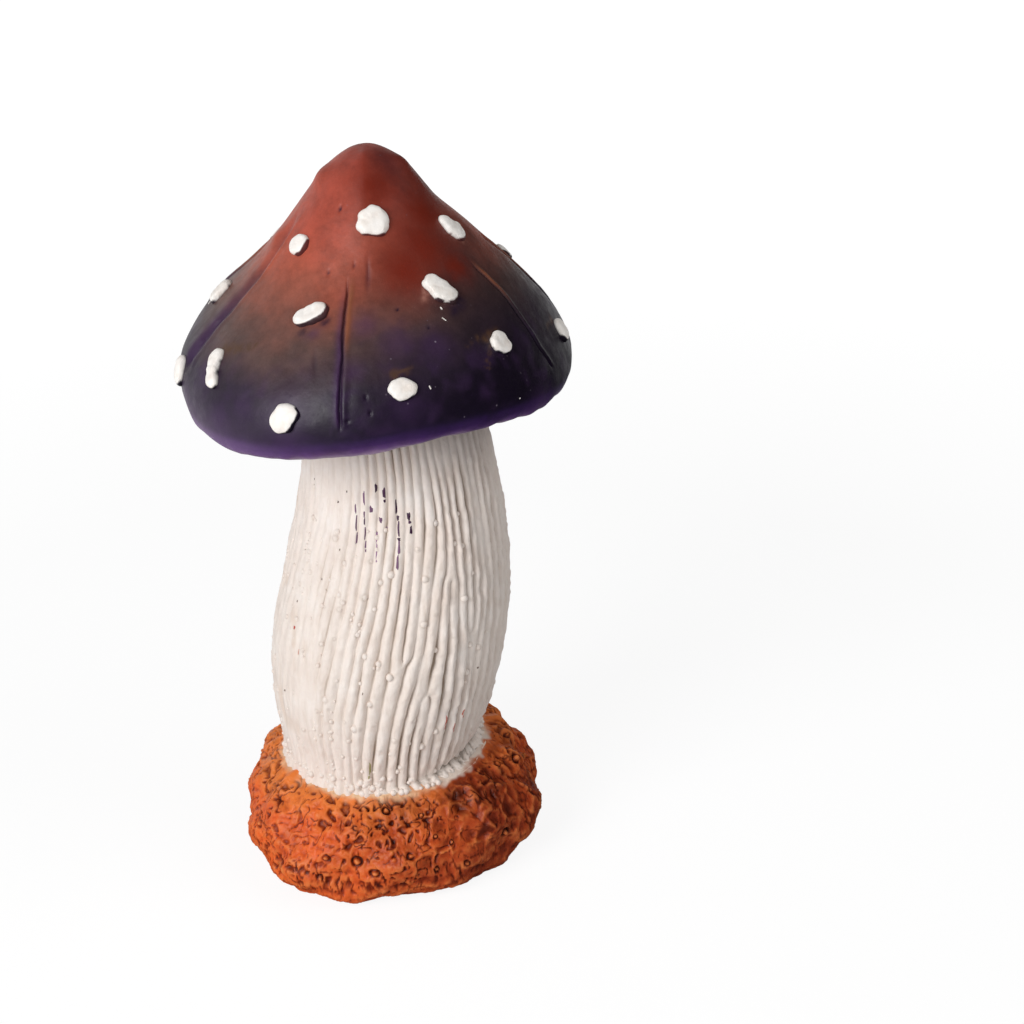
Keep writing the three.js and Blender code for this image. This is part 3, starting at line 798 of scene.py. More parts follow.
# beads cast in the grooves: (turn, height) seen at the front, and a seeded scatter of the rest
beadShape = {
    "seen": [(-68, 53), (-92, 47), (-74, 46), (-78, 50), (-47, 45), (-52, 42), (-68, 41), (-74, 40),
             (-105, 44), (-125, 51), (-116, 43), (-97, 46), (-117, 42), (-106, 39), (-101, 36), (-94, 35),
             (-88, 33), (-119, 29), (-96, 29), (-103, 25), (-106, 23), (-102, 20), (-82, 23), (-67, 36),
             (-47, 35), (-41, 34), (-74, 26), (-67, 21), (-60, 23), (-47, 31), (-77, 18), (-8, 47)],
    "scattered": 80, "radius": 0.4, "proud": -0.12,
    # pimples on the worn side: clusters, how many in each, their spread in degrees and mm, and size in beads
    "clusters": 26, "each": 9, "spread": (7, 2.2), "pimple": 0.62,
}
# masks on the stem and its beads: the grooves' brown wash with painted shade, stains, and the cap's painted
# shadow at the neck with painted shade on the right
stemMasks = ("groove", "grimeAndShade", "neck")


def beadPlaces():
    random = np.random.default_rng(7)
    places = [(turn, height, random.uniform(0.9, 1.4)) for turn, height in beadShape["seen"]]
    for _ in range(beadShape["scattered"]):
        turn = random.uniform(-165, 195)
        places.append((turn, 17 + 40 * random.random() ** 1.5, random.uniform(0.6, 1.0)))
    around, upwards = beadShape["spread"]
    for _ in range(beadShape["clusters"]):
        turn, height = random.uniform(-185, -95), random.uniform(18, 52)
        for step in random.standard_normal((beadShape["each"], 3)):
            size = beadShape["pimple"] * np.clip(1 + 0.3 * step[2], 0.5, 1.5)
            places.append((turn + around * step[0], max(height + upwards * step[1], 16), size))
    return places


def stemSkin(beads):
    # spigot at the foot, ribbed barrel, spigot at the neck
    s = stemShape
    turns = crowdedTurns(s["columns"], *s["crowd"])
    turn, level = np.meshgrid(turns, np.linspace(s["start"], 1, s["rows"]))
    relief, groove, worn = ribRelief(turn, level)
    barrel = onStem(turn, level, relief)
    footRadius, footLength = s["footSpigot"]
    neckRadius, neckLength = s["neckSpigot"]
    foot, neck, top = stemAxis(0), stemAxis(1), s["seat"] + s["length"]
    points = np.concatenate([
        flatRing(foot, footRadius, s["seat"] - footLength, turns),
        flatRing(foot, footRadius, barrel[0, 0, 2], turns), barrel,
        flatRing(neck, neckRadius, top, turns), flatRing(neck, neckRadius, top + neckLength, turns),
    ])
    # painted shade, in the brown wash's colour, also gathers round the beads
    large = [bead for bead in beads if bead[2] > 0.75]
    centres = [onStem(np.array(float(t)), stemLevel(h)) for t, h, _ in large]
    rings = spots(barrel, centres, [beadShape["radius"] * 1.5 * size for _, _, size in large])
    stain = ease(noise(barrel * (1, 1, 0.4), 1.3, 53), 0.3, 0.75) * ease(noise(barrel, 6, 54), -0.2, 0.4)
    # painted shadow of the cap on the neck, strongest on the right, and painted shade down the whole right
    # side
    neckShade = ease(level, 0.7, 1) * (0.2 + 0.46 * towards(turn, -35, 48)) + 0.14 * towards(turn, -25, 40)
    marks = {"groove": np.maximum(groove, 0.6 * rings), "grimeAndShade": stain * (0.2 + 0.3 * worn), "neck": neckShade}
    marks = {name: np.pad(mark, ((2, 2), (0, 0))) for name, mark in marks.items()}
    return loopGrid(points, endMiddles(points), **marks)


def stemPaint():
    # cream acrylic brushed on ribbed resin: low satin, upright streaks, brown wash with painted shade in the
    # grooves, grey painted shadow of the cap at the neck and painted shade down the right side
    material, tree, shader, where = newMaterial("cream_acrylic_washed", 0.55)
    cream = clouded(tree, where, 5, 5, 0.6, [(0.3, "#ebddd3"), (0.5, "#f1e5dc"), (0.7, "#f5ece5")])
    tall = addNode(tree, "VectorMath", {0: where, 1: (1, 1, 0.1)}, operation="MULTIPLY").outputs[0]
    brush = addNode(tree, "TexNoise", {"Vector": tall, "Scale": perMm(0.8), "Detail": 4, "Roughness": 0.65})
    streak = addNode(tree, "MapRange", {0: brush.outputs["Fac"], 1: 0.5, 2: 0.75, 3: 0, 4: 0.5})
    groove = addNode(tree, "Attribute", attribute_name="groove").outputs["Fac"]
    # brown wash with painted shade down the grooves
    shadeWash = addNode(tree, "MapRange", {0: groove, 1: 0.25, 2: 0.95, 3: 0, 4: 0.9})
    colour = coated(tree, cream, (streak.outputs[0], "#d9c8ba"), ("grimeAndShade", "#dec8b6"), ("neck", "#9c8f89"),
                    (shadeWash.outputs[0], "#98826e"))
    finished(tree, shader, where, colour, 0.5, 0.2)
    return material


beads = beadPlaces()
beadSkins = []
for turn, height, size in beads:
    centre = onStem(np.array(float(turn)), stemLevel(height), beadShape["proud"])
    beadSkins.append(ball(centre, beadShape["radius"] * size, *stemMasks))
creamOnStem = stemPaint()
makePiece("ribbed_stem", [stemSkin(beads)], creamOnStem, "stem_paint", "stem")
makePiece("stem_beads", beadSkins, creamOnStem, "stem_paint")


# stray paint on the stem: colours thick and thinned, and strokes from (turn, height) to (turn, height)
# with a width in mm and how thin the paint is
strayPaint = {
    "violet": {"thick": "#3c1238", "thinned": "#a87da2", "strokes": [
        (-113.5, 56, -111.7, 50.7, 0.22, 0.15), (-108, 55.2, -106.3, 49.8, 0.2, 0.2),
        (-109, 57.8, -107, 56, 0.4, 0.35), (-104.2, 55.8, -103.8, 55, 0.5, 0.05),
        (-98.6, 54.5, -98.2, 53.8, 0.5, 0.05), (-100.3, 58.8, -100.8, 57.7, 0.4, 0),
        (-96, 58.3, -95.8, 56.4, 0.36, 0), (-90, 56.7, -88.6, 54, 0.32, 0),
        (-88.6, 54, -88.3, 51.5, 0.36, 0.1), (-88.3, 51.5, -88.2, 49.6, 0.4, 0.35),
        (-88.2, 49.6, -89.5, 47.7, 0.34, 0.5),
        (-83, 55, -82.2, 53.5, 0.45, 0), (-82.2, 53.2, -81.2, 52.1, 0.3, 0),
        (-100.7, 52.7, -100, 48.8, 0.24, 0.55), (-95.4, 53.2, -94.9, 52.5, 0.24, 0.3),
        (60, 60, 61, 57, 0.3, 0.3)]},
    "red": {"thick": "#b3301f", "thinned": "#dba792", "strokes": [
        (-56, 25.2, -54, 22.8, 0.3, 0), (-50, 23.4, -48.5, 21.9, 0.24, 0.2), (-45, 25, -44, 23.8, 0.2, 0.2),
        (-42, 27, -42, 25.8, 0.2, 0), (-145, 37.6, -145, 37.1, 0.3, 0.1), (-139, 34.9, -139, 34, 0.3, 0.6)]},
    "brown": {"thick": "#5a4238", "thinned": "#b7a494", "strokes": [
        (-147, 57.6, -147, 57.5, 0.2, 0.2), (-119, 57.5, -119, 57.4, 0.22, 0),
        (-125, 55.9, -125, 55.8, 0.3, 0), (-121, 49.9, -121, 49.8, 0.2, 0.2),
        (-130, 45.5, -130, 45.4, 0.22, 0.2), (-146, 41.1, -146, 41, 0.22, 0.3),
        (-148, 27.8, -148, 27.7, 0.25, 0.3), (-40, 31, -40, 30.9, 0.2, 0.2),
        (-100, 31, -100, 30.6, 0.2, 0.4)]},
    "green": {"thick": "#8f8a35", "thinned": "#cfc9a0", "strokes": [(-94, 19.3, -95, 16.4, 0.26, 0.2)]},
}


daubShape = {
    "spokes": 16, "squareness": 0.6, "rings": [0.7, 1, 0.8, 0.4],
    "film": [-0.15, -0.02, 0.05, 0.06],  # height of each ring above the rib, mm
    "length": (0.8, 2.2), "gap": 0.15, "width": (0.7, 1.15),  # mm, and widths of the stroke
}


def daubSkins(strokes, seed):
    # each stroke breaks into thin rounded films lying on the ribs, of random length and width
    d = daubShape
    random = np.random.default_rng(seed)
    angle = np.linspace(0, 2 * np.pi, d["spokes"], endpoint=False)
    sides = (np.cos(angle), np.sin(angle))
    across, along = (np.sign(side) * np.abs(side) ** d["squareness"] for side in sides)
    ring, film = np.array(d["rings"])[:, None], np.array(d["film"])[:, None]
    skins = []
    for turnA, heightA, turnB, heightB, width, thin in strokes:
        left, length = 0.0, max(heightA - heightB, 0.1)
        while left < length:
            piece = min(random.uniform(*d["length"]), max(length - left, 0.3))
            share = min((left + piece / 2) / length, 1)
            left += piece + random.uniform(0, d["gap"])
            wide = width * random.uniform(*d["width"])
            height, turn = heightA + (heightB - heightA) * share, turnA + (turnB - turnA) * share
            bumpy = 1 + 0.16 * np.sin(3 * angle + random.uniform(0, 6))
            bumpy = bumpy + 0.1 * np.sin(5 * angle + random.uniform(0, 6))
            t = stemLevel(height + ring * bumpy * along * max(piece, wide) / 2)
            turns = turn + np.degrees(ring * bumpy * across * wide / 2 / stemRadius(t, turn))
            points = onStem(turns, t, ribRelief(turns, t)[0] + film)
            paleness = np.full(points.shape[:2], np.clip(thin + random.uniform(-0.15, 0.25), 0, 1))
            skins.append(loopGrid(points, endMiddles(points), thin=paleness))
    return skins


def strayMaterial(name, thick, thinned):
    # acrylic flicked off the brush: satin, paler where it dried thin over the cream
    material, tree, shader, where = newMaterial("flicked_acrylic_" + name, 0.45)
    finished(tree, shader, where, coated(tree, toLinear(thick), ("thin", thinned)), 0.3, 0.04)
    return material


for number, (name, paint) in enumerate(strayPaint.items()):
    material = strayMaterial(name, paint["thick"], paint["thinned"])
    makePiece("stray_paint_" + name, daubSkins(paint["strokes"], 61 + number), material, "cap_paint")


# base: craggy mound with a flat underside, and filler in the corner between it and the stem

fillerShape = {
    "columns": 640, "rows": 20, "crowd": ([-60], 60, 1.2),
    "thin": (0.05, 0.7), "wide": (0.65, 1.7),  # width and height, mm
    "wander": (1.3, 0.22),  # spacing in mm and share by which the ledge's edge wanders
    "crinkle": 0.34, "beads": 110, "beadRadius": 0.4,
}
fillerMasks = ("grimeAndShade", "tint")


baseShape = {
    "radius": 21.1, "widest": 5.5, "seat": 14.7, "underside": 17.2, "seam": 13.7, "seatRadius": 12.4,
    "mound": (2.03, 8.9, 10.2),  # superellipse power, centre radius and rise of the shoulder
    "seamCentre": np.array([-1.3, -0.9]), "shoulderTilt": 0.059,
    "oval": (0.094, 76), "threeSided": (0.068, -23),  # share and turn
    "crags": [(7, 0.35, 0.45, 0.4), (11, 0.3, -0.6, 2.1), (16, 0.22, 0.9, 4.0)], "cragFree": 3,
    "socket": (11.3, 5.7), "columns": 850, "crowd": ([-90], 60, 0.9),
    "flatRings": [5, 10, 14, 16.4], "underRows": 24, "shoulderRows": 86,
    "lumps": [(5, 0.3), (2.4, 0.22), (1.2, 0.14)],
    # broad bumps and dips: turn, height, size, spreads
    "swells": [(16, 13.2, 0.9, 18, 1.7), (6, 10.8, -0.9, 16, 1.7), (-12, 7, 0.5, 10, 1.2),
               (-42, 2, -0.5, 18, 1.6)],
    "hammered": (2.7, 1.0, 0.26),  # spacing of the hammered dents, their depth and the height of their rims
    "hammeredAt": [(-46, 34), (60, 30), (150, 30)],  # turn and spread of the sides that have them
    "pocks": [(1.2, 0.42, 0.45), (0.7, 0.42, 0.3)],  # size, how rare, depth
    "cracks": [(2.1, 0.09, 0.3), (1.3, 0.12, 0.24), (0.8, 0.16, 0.18)],  # size, thinness and depth
    "folds": (0.95, 0.32, 10.5),  # spacing and height of the folds up to the stem, and where they begin
    "grain": (1.0, 0.17),
    "flange": [(-42, 40, 0.75), (-125, 45, 0.4)],  # turn, spread and share of the plain flange at the foot
    # ring craters with a bead inside: turn and height seen at the front, size, then a seeded scatter
    "craters": [(-103, 7.5, 1.1), (-97, 5.8, 1), (-90, 7.9, 0.9), (-105, 11.6, 0.7), (-102, 13.1, 1),
                (-116, 5.2, 0.9), (-73, 9.9, 0.6), (-67, 8.3, 0.6), (-83, 8.3, 0.8), (-74, 5.5, 0.8),
                (-43, 6.7, 1.2), (-20, 8.7, 1), (-92, 13, 0.9), (-77, 12, 0.7), (-62, 5.2, 0.6),
                (-113, 8.1, 0.9), (-146, 9, 0.8), (-142, 6, 0.7)],
    "craterScatter": 34, "craterSize": 0.52, "craterDepth": 0.5, "beadHeight": 0.3,
    "seamBead": (-146, 14, 0.75),  # turn, height and size of the one orange bead at the seam
    "washBlur": 12,  # passes that tell a pit or rim from the face round it
    "smear": (-0.22, 0.12),  # from where to where the white smear beside the ledge sets in, mm from the seat
}


def shoulderHeight(radius):
    # superellipse: widest + rise (1 - out^power)^(1 / power), out being the share of the way to the rim
    power, centre, rise = baseShape["mound"]
    out = np.clip((radius - centre) / (baseShape["radius"] - centre), 0, 1)
    return baseShape["widest"] + rise * (1 - out ** power) ** (1 / power)


def baseSurface(turn, radius, height):
    # outside of the mound: oval and three-sided plan, crags, tilted top edge and drifting centre
    b = baseShape
    angle = np.radians(turn)
    rise = height / b["seat"]
    (oval, ovalTurn), (sides, sidesTurn) = b["oval"], b["threeSided"]
    plan = oval * np.cos(2 * (angle - np.radians(ovalTurn)))
    plan = plan + sides * np.cos(3 * (angle - np.radians(sidesTurn)))
    crag = sum(size * np.cos(lobes * angle + climb * height + shift)
               for lobes, size, climb, shift in b["crags"])
    crag = crag * ease(b["seat"] - height, 0, b["cragFree"]) * ease(radius, 10, 16)
    x, y = polar(turn, radius * (1 + (1 - rise) * plan) + crag)
    z = height + rise * b["shoulderTilt"] * y
    return np.stack([x + b["seamCentre"][0] * rise, y + b["seamCentre"][1] * rise, z], axis=-1)


def turnOf(points):
    # turn of places round the base's own middle
    return np.degrees(np.arctan2(points[..., 1], points[..., 0]))


def baseRelief(plain, turn, height):
    # lumps, hammered dents, ragged pocks and short cracks, ring craters, and a mask of where brown wash and
    # painted shade gather
    b = baseShape
    relief = sum(size * noise(plain, step, 60 + i) for i, (step, size) in enumerate(b["lumps"]))
    relief = relief + swollen(turn, height, b["swells"])
    bent = jittered(jittered(plain, 2.2, 0.6, 63), 0.8, 0.3, 66)
    spacing, depth, rimHeight = b["hammered"]
    nearest, second, own = cells(jittered(bent, 2.6, 0.7, 68), spacing, 71)
    rim = (1 - ease(second - nearest, 0, 0.3)) * ease(noise(plain, 1.6, 74), -0.5, 0.2)
    dents = depth * (0.3 + 0.7 * own) * (np.minimum(nearest, 0.8) ** 2 - 0.3) + rimHeight * rim
    much = sum(towards(turn, at, spread) for at, spread in b["hammeredAt"]) * ease(height, 5, 8)
    much = np.clip(0.15 + 0.75 * much + 0.4 * noise(plain, 4, 75), 0, 1)
    relief = relief + much * dents
    # dent hollows darkened: brown wash with painted shade
    line = 0.65 * much * ease(0.55 - nearest, 0, 0.35)
    step, size, foldsFrom = b["folds"]
    spokes = np.stack([*polar(turn, 15), 0.3 * height], -1)
    folds = noise(jittered(spokes, 1.5, 0.4, 91), step, 94) * ease(height, foldsFrom, foldsFrom + 2)
    folds = folds * (1 + 0.8 * ledgeShare(turn))
    relief = relief + size * folds
    line = np.maximum(line, 0.35 * ease(-folds, 0.25, 0.8))
    busy = 0.6 + 0.4 * ease(noise(plain, 4.5, 93) + 0.4 * ease(height, 9, 13), -0.4, 0.3)
    for i, (size, rare, deep) in enumerate(b["pocks"]):
        pock = ease(-noise(bent, size, 78 + i), rare, rare + 0.35) * (1 - 0.5 * much) * busy
        relief = relief - deep * pock
        line = np.maximum(line, 0.6 * pock)
    for i, (size, thin, deep) in enumerate(b["cracks"]):
        short = ease(noise(plain, 0.9 * size, 82 + 2 * i), -0.02, 0.26)
        crack = (1 - ease(np.abs(noise(bent, size, 81 + 2 * i)), 0, thin)) * short * (1 - 0.5 * much) * busy
        relief = relief - deep * crack
        line = np.maximum(line, crack)
    flange = sum(share * towards(turn, at, spread) for at, spread, share in b["flange"])
    plainer = 1 - flange * (1 - ease(height, 2, 4.2))
    relief, line = relief * plainer, line * plainer
    random = np.random.default_rng(19)
    craters = list(b["craters"])
    for _ in range(b["craterScatter"]):
        craters.append((random.uniform(-15, 190), random.uniform(2, 12.5), random.uniform(0.5, 1.15)))
    around = turnOf(plain)
    for craterTurn, craterHeight, size in craters:
        off = (0.35 * wrap(around - craterTurn)) ** 2 + (plain[..., 2] - craterHeight) ** 2
        centre = plain.reshape(-1, 3)[np.where(height < 0.5, np.inf, off).argmin()]
        away = np.linalg.norm(0.4 * plain + 0.6 * bent - centre, axis=-1) / (b["craterSize"] * size)
        ring, bead = bell(away - 1, 0.36), bell(away, 0.6)
        ring = ring * ease(noise(plain, 0.9, 88), -0.7, -0.1)
        dish = b["craterDepth"] * (0.1 - ring) + b["beadHeight"] * bead
        near = 1 - ease(away, 1.1, 1.9)
        relief = relief + near * (dish * size - 0.7 * relief)
        line = line * (1 - near) + 0.9 * ring
    grain = b["grain"][1] * (1 - 0.7 * much) * rough(plain, b["grain"][0], 3, 95)
    return relief + grain, np.clip(line, 0, 1)


def baseMarks(turn, height, plain, relief, line, skin, bead):
    # masks for the paint: brown wash with painted shade in pits and cracks, rims brushed lighter with a
    # painted highlight, a paler crown, painted shade on the right side, and white beside the filler
    b = baseShape
    hollow = ledgeShare(turn)
    # pits read from the blurred relief: brown wash with painted shade in them, painted highlight on the rims
    deep = blurred(relief, b["washBlur"]) - relief
    # painted shade down the right side, some at the back, and lower down on the far right
    shade = 0.76 * towards(turn, -44, 42) + 0.18 * towards(turn, 60, 60)
    shade = shade + 0.45 * towards(turn, -2, 26) * (1 - ease(height, 9, 12))
    shadeWash = np.clip(shade + 0.25 * noise(plain, 5, 99), 0, 0.9)
    soft = 0.25 * (1 - hollow)
    fringe = ease(height + 0.24 * noise(plain, 0.7, 97), b["seat"] - 0.2 - soft, b["seat"] + 0.25)
    above = height - b["seat"] + 0.3 * noise(plain, 0.9, 117)
    smooth = 1 - np.clip(2 * bead, 0, 1)
    shown = np.maximum(skin, hollow * ease(b["seat"] - height, 0, 0.6)) * smooth
    return {
        "recess": np.clip(deep / 0.17, 0, 1) * shown,
        "peak": np.clip(-deep / 0.26, 0, 1) * shown * (1 - 0.4 * shadeWash),
        "line": np.clip(line * (1 + 0.5 * shadeWash), 0, 1) * shown,
        "crown": ease(plain[..., 2] + noise(plain, 2.5, 98), 10.5, 14) * (1 - 0.6 * hollow),
        "seam": fringe * smooth * (1 - 0.8 * hollow),
        "smear": ease(above, *b["smear"]) * ease(hollow, 0.3, 0.7),
        "underside": 1 - ease(height, 0, 0.35), "shadeWash": shadeWash,
    }


def baseSkin():
    # flat underside, quarter-round edge, shoulder up to the seam, then the seat and the socket's wall
    b = baseShape
    bend = np.radians(np.linspace(90, 0, b["underRows"]))
    underRadius = b["underside"] + (b["radius"] - b["underside"]) * np.cos(bend)
    underHeight = b["widest"] * (1 - np.sin(bend))
    shoulder = b["radius"] + (b["seam"] - b["radius"]) * np.linspace(0, 1, b["shoulderRows"])[1:] ** 1.5
    radius = np.concatenate([b["flatRings"], underRadius, shoulder])
    height = np.concatenate([np.zeros(len(b["flatRings"])), underHeight, shoulderHeight(shoulder)])
    turns = crowdedTurns(b["columns"], *b["crowd"])
    turn, radius = np.meshgrid(turns, radius)
    height = np.tile(height[:, None], len(turns))
    plain = baseSurface(turn, radius, height)
    hollow = ledgeShare(turn)
    skin = ease(height, 0, 0.5) * ease(b["seat"] + 0.6 - 1.1 * hollow - height, 0, 1.2 - 0.4 * hollow)
    relief, line = baseRelief(plain, turn, height)
    beadTurn, beadHeight, beadSize = b["seamBead"]
    around = np.radians(wrap(turnOf(plain) - beadTurn)) * 16
    bead = beadSize * bell(np.hypot(around, plain[..., 2] - beadHeight), beadSize)
    points = plain + gridNormals(plain) * (relief * skin * (1 - np.clip(bead, 0, 1)) + bead)[..., None]
    points[..., 2] = np.maximum(points[..., 2], 0)
    socketRadius, socketFloor = b["socket"]
    seat = [(b["seatRadius"], b["seat"]), (socketRadius, b["seat"]), (socketRadius, socketFloor)]
    points = np.concatenate([points, *(flatRing(footCentre, *ring, turns) for ring in seat)])
    marks = baseMarks(turn, height, plain, relief, line, skin, bead)
    marks = {name: np.pad(mark, ((0, len(seat)), (0, 0)), mode="edge") for name, mark in marks.items()}
    return loopGrid(points, np.array([[0, 0, 0], [*footCentre, socketFloor]]), **marks)


def basePaint():
    # rust-orange acrylic over rough cast resin: brown wash with painted shade in pits and cracks, rims
    # brushed lighter with a painted highlight, painted shade down the right side
    material, tree, shader, where = newMaterial("rust_acrylic_washed", 0.4)
    shader.inputs["Specular IOR Level"].default_value = 0.35
    rust = clouded(tree, where, 3, 6, 0.65, [(0.3, "#d7531a"), (0.5, "#ea6222"), (0.7, "#f1702c")])
    # the right side's painted shade, then rims made lighter with a painted highlight
    colour = coated(tree, rust, ("crown", "#ee8136"), ("shadeWash", "#822709"), ("peak", "#e88545"))
    # pits and cracks: brown wash with painted shade
    colour = coated(tree, colour, ("recess", "#b08e7c"), ("line", "#7c675c"), blend="MULTIPLY")
    colour = coated(tree, colour, ("seam", "#efc9a2"), ("smear", "#e3d3c6"), ("underside", "#b9aa98"))
    finished(tree, shader, where, colour, 0.5, 0.22)
    return material


makePiece("rough_base", [baseSkin()], basePaint(), "base_paint", "base_mound")


def fillerPlace(turn, share):
    # a curve from the stem's wall out to the mound: straight at the front, hollow where the filler is wide
    f, b = fillerShape, baseShape
    direction = np.stack(polar(turn, 1), -1)
    much = ledgeShare(turn)
    spacing, reach = f["wander"]
    wander = noise(np.stack([*polar(turn, 16), 0 * turn], -1), spacing, 112)
    width = f["thin"][0] + (f["wide"][0] - f["thin"][0]) * much * (1 + reach * wander)
    tall = f["thin"][1] + (f["wide"][1] - f["thin"][1]) * much
    outside = b["seamCentre"] + (b["seam"] + width)[..., None] * direction
    low = shoulderHeight(b["seam"] + width) + b["shoulderTilt"] * outside[..., 1] + 0.06
    high = shoulderHeight(b["seam"]) + b["shoulderTilt"] * outside[..., 1] + tall
    t = np.clip(stemLevel(high), 0, 1)
    inside = np.stack(stemAxis(t), -1) + (stemRadius(t, turn) - 0.3)[..., None] * direction
    across = (0.55 - 0.4 * much)[..., None]
    bend = inside * (1 - across) + outside * across
    bendHeight = low + (high - low) * (0.4 - 0.2 * much)
    a, c = ((1 - share) ** 2)[..., None], (share ** 2)[..., None]
    corners = ((inside, high), (bend, bendHeight), (outside, low))
    start, middle, end = (np.concatenate([place, z[..., None]], -1) for place, z in corners)
    points = a * start + (1 - a - c) * middle + c * end
    return points, np.concatenate([direction, 0.4 + 0 * turn[..., None]], -1), much


def fillerSkin():
    # the stem's ribs run on over the thin part; the ledge is crinkled instead
    f = fillerShape
    turns = crowdedTurns(f["columns"], *f["crowd"])
    turn, share = np.meshgrid(turns, np.linspace(0, 1, f["rows"]))
    points, outward, much = fillerPlace(turn, share)
    arc = np.stack([turn * 0.24, share * 1.2, 0 * turn], -1)
    flutes = 0.7 * noise(arc, 0.55, 111) + 0.45 * noise(arc * (1, 3, 1), 0.32, 113)
    ribs, groove, _ = ribRelief(turn, np.clip(stemLevel(points[..., 2]), 0.02, 1))
    lift = f["crinkle"] * much * flutes * ease(share, -0.1, 0.15)
    lift = lift + (1 - much) * (ribs + 0.1 * ease(share, 0, 0.3))
    flatter = 1 - (0.7 + 0.25 * much) * ease(share, 0.7 - 0.15 * much, 1)
    points = points + outward * (lift * flatter)[..., None]
    hidden = np.stack([points[-1] - (0, 0, 1.2), points[0] * 0.5 + points[-1] * 0.5 - (0, 0, 1.8)])
    # painted shade: grey in the flutes' hollows, in the corner by the stem and down the stem's grooves
    grimeAndShade = (1.5 * np.clip(-flutes, 0, 1) + 0.75 * (1 - ease(share, 0.1, 0.55))) * much
    grimeAndShade = grimeAndShade + 0.7 * (1 - much) * groove
    tint = ease(share + 0.12 * noise(points, 0.8, 115), 0.9, 1.04) * (1 - 0.6 * much)
    # rows run outwards and down, so they are turned over to face out
    marks = {"grimeAndShade": grimeAndShade, "tint": tint}
    for name, mark in marks.items():
        marks[name] = np.pad(np.clip(mark, 0, 1), ((0, len(hidden)), (0, 0)), mode="edge")[::-1]
    skins = [loopGrid(np.concatenate([points, hidden])[::-1], **marks)]
    # beads cast along the filler and just above it, most at the front
    random = np.random.default_rng(23)
    for i in range(f["beads"]):
        at = -95 + 42 * random.standard_normal() if i < 0.7 * f["beads"] else random.uniform(-180, 180)
        place, push, much = fillerPlace(np.array([at]), np.array([0.9]))
        above, size = 2.4 * random.random() ** 2.2, f["beadRadius"] * random.uniform(0.6, 1.25)
        centre = place[0] + 0.1 * push[0]
        if above > 0.4:
            centre = onStem(np.array(at), stemLevel(place[0, 2] + above))
        if much[0] < 0.6:
            skins.append(ball(centre, size, *fillerMasks))
    return skins


def fillerPutty():
    # white filler smeared on by finger: dull, crinkled, grey painted shade in the folds and the inner corner,
    # orange overspray at its edge
    material, tree, shader, where = newMaterial("smeared_white_filler", 0.65)
    white = clouded(tree, where, 1.5, 5, 0.5, [(0.3, "#ebddd3"), (0.6, "#f3e8e0")])
    colour = coated(tree, white, ("grimeAndShade", "#978b80"), ("tint", "#ecc59e"))
    finished(tree, shader, where, colour, 0.4, 0.1)
    return material


makePiece("crinkled_filler", fillerSkin(), fillerPutty(), "filler", "foot_fillet")


# glue sleeves, hidden in the two sockets

def epoxyGlue():
    # set two-part epoxy: amber, glossy, cloudy with small air bubbles
    material, tree, shader, where = newMaterial("set_epoxy", 0.25)
    bubbles = addNode(tree, "TexVoronoi", {"Vector": where, "Scale": perMm(0.8)})
    amber = addNode(tree, "ValToRGB", {"Fac": bubbles.outputs["Distance"]},
                    stops=[(0.0, "#e0d2a8"), (0.35, "#c9b98f")])
    tree.links.new(amber.outputs["Color"], shader.inputs["Base Color"])
    return material


glue = epoxyGlue()
for node in ("foot_glue_sleeve", "neck_glue_sleeve"):
    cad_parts[node].data.materials.clear()
    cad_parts[node].data.materials.append(glue)
print("glue sleeves: material set")


# camera and light

cameraSet = {
    "eye": (17.95, -268.27, 171.65), "target": (17.95, -1.17, 48.8), "roll": -2.6,
    "lens": 77.34, "sensor": 36,
}
lightSet = {
    # mm, the share of a colour that it lights, and whether it shows in reflections
    "key": {"from": (-380, -460, 335), "size": 420, "share": 0.75, "mirrored": True},
    "fill": {"from": (430, -170, 430), "size": 500, "share": 0.24, "mirrored": False},
    "horizon": 0.35, "zenith": 0.17,  # soft light from round about and from above
    "behind": 0.9, "infront": 0.02,  # what reflections see behind and in front
    "backwards": (-0.6, 0.8, 0),  # the way that counts as behind
    "floor": "#f4f4f4", "floorGlow": (0.82, 1.0), "floorWhite": 1.08,  # glow near the object and far from it
}


def placeCamera():
    eye, target = Vector(cameraSet["eye"]) * mm, Vector(cameraSet["target"]) * mm
    data = bpy.data.cameras.new("camera")
    data.lens, data.sensor_width = cameraSet["lens"], cameraSet["sensor"]
    data.clip_start, data.clip_end = 0.01, 20
    camera = bpy.data.objects.new("camera", data)
    camera.rotation_mode = "QUATERNION"
    camera.location = eye
    roll = Quaternion((0, 0, 1), np.radians(cameraSet["roll"]))
    camera.rotation_quaternion = (target - eye).to_track_quat("-Z", "Y") @ roll
    bpy.context.scene.collection.objects.link(camera)
    bpy.context.scene.camera = camera


def placeLamp(name, middle):
    spec = lightSet[name]
    place = Vector(spec["from"]) * mm
    data = bpy.data.lights.new(name, "AREA")
    data.shape, data.size = "DISK", spec["size"] * mm
    data.energy = spec["share"] * np.pi ** 2 * (place - middle).length ** 2
    lamp = bpy.data.objects.new(name, data)
    lamp.location, lamp.visible_glossy = place, spec["mirrored"]
    lamp.rotation_mode = "QUATERNION"
    lamp.rotation_quaternion = (middle - place).to_track_quat("-Z", "Y")
    bpy.context.scene.collection.objects.link(lamp)


def roomBehind(tree, where, near, far):
    # how bright reflections see the room: dim in front, white behind
    back = addNode(tree, "VectorMath", {0: where, 1: lightSet["backwards"]}, operation="DOT_PRODUCT")
    return addNode(tree, "MapRange", {
        0: back.outputs["Value"], 1: near, 2: far, 3: lightSet["infront"], 4: lightSet["behind"],
    }).outputs[0]


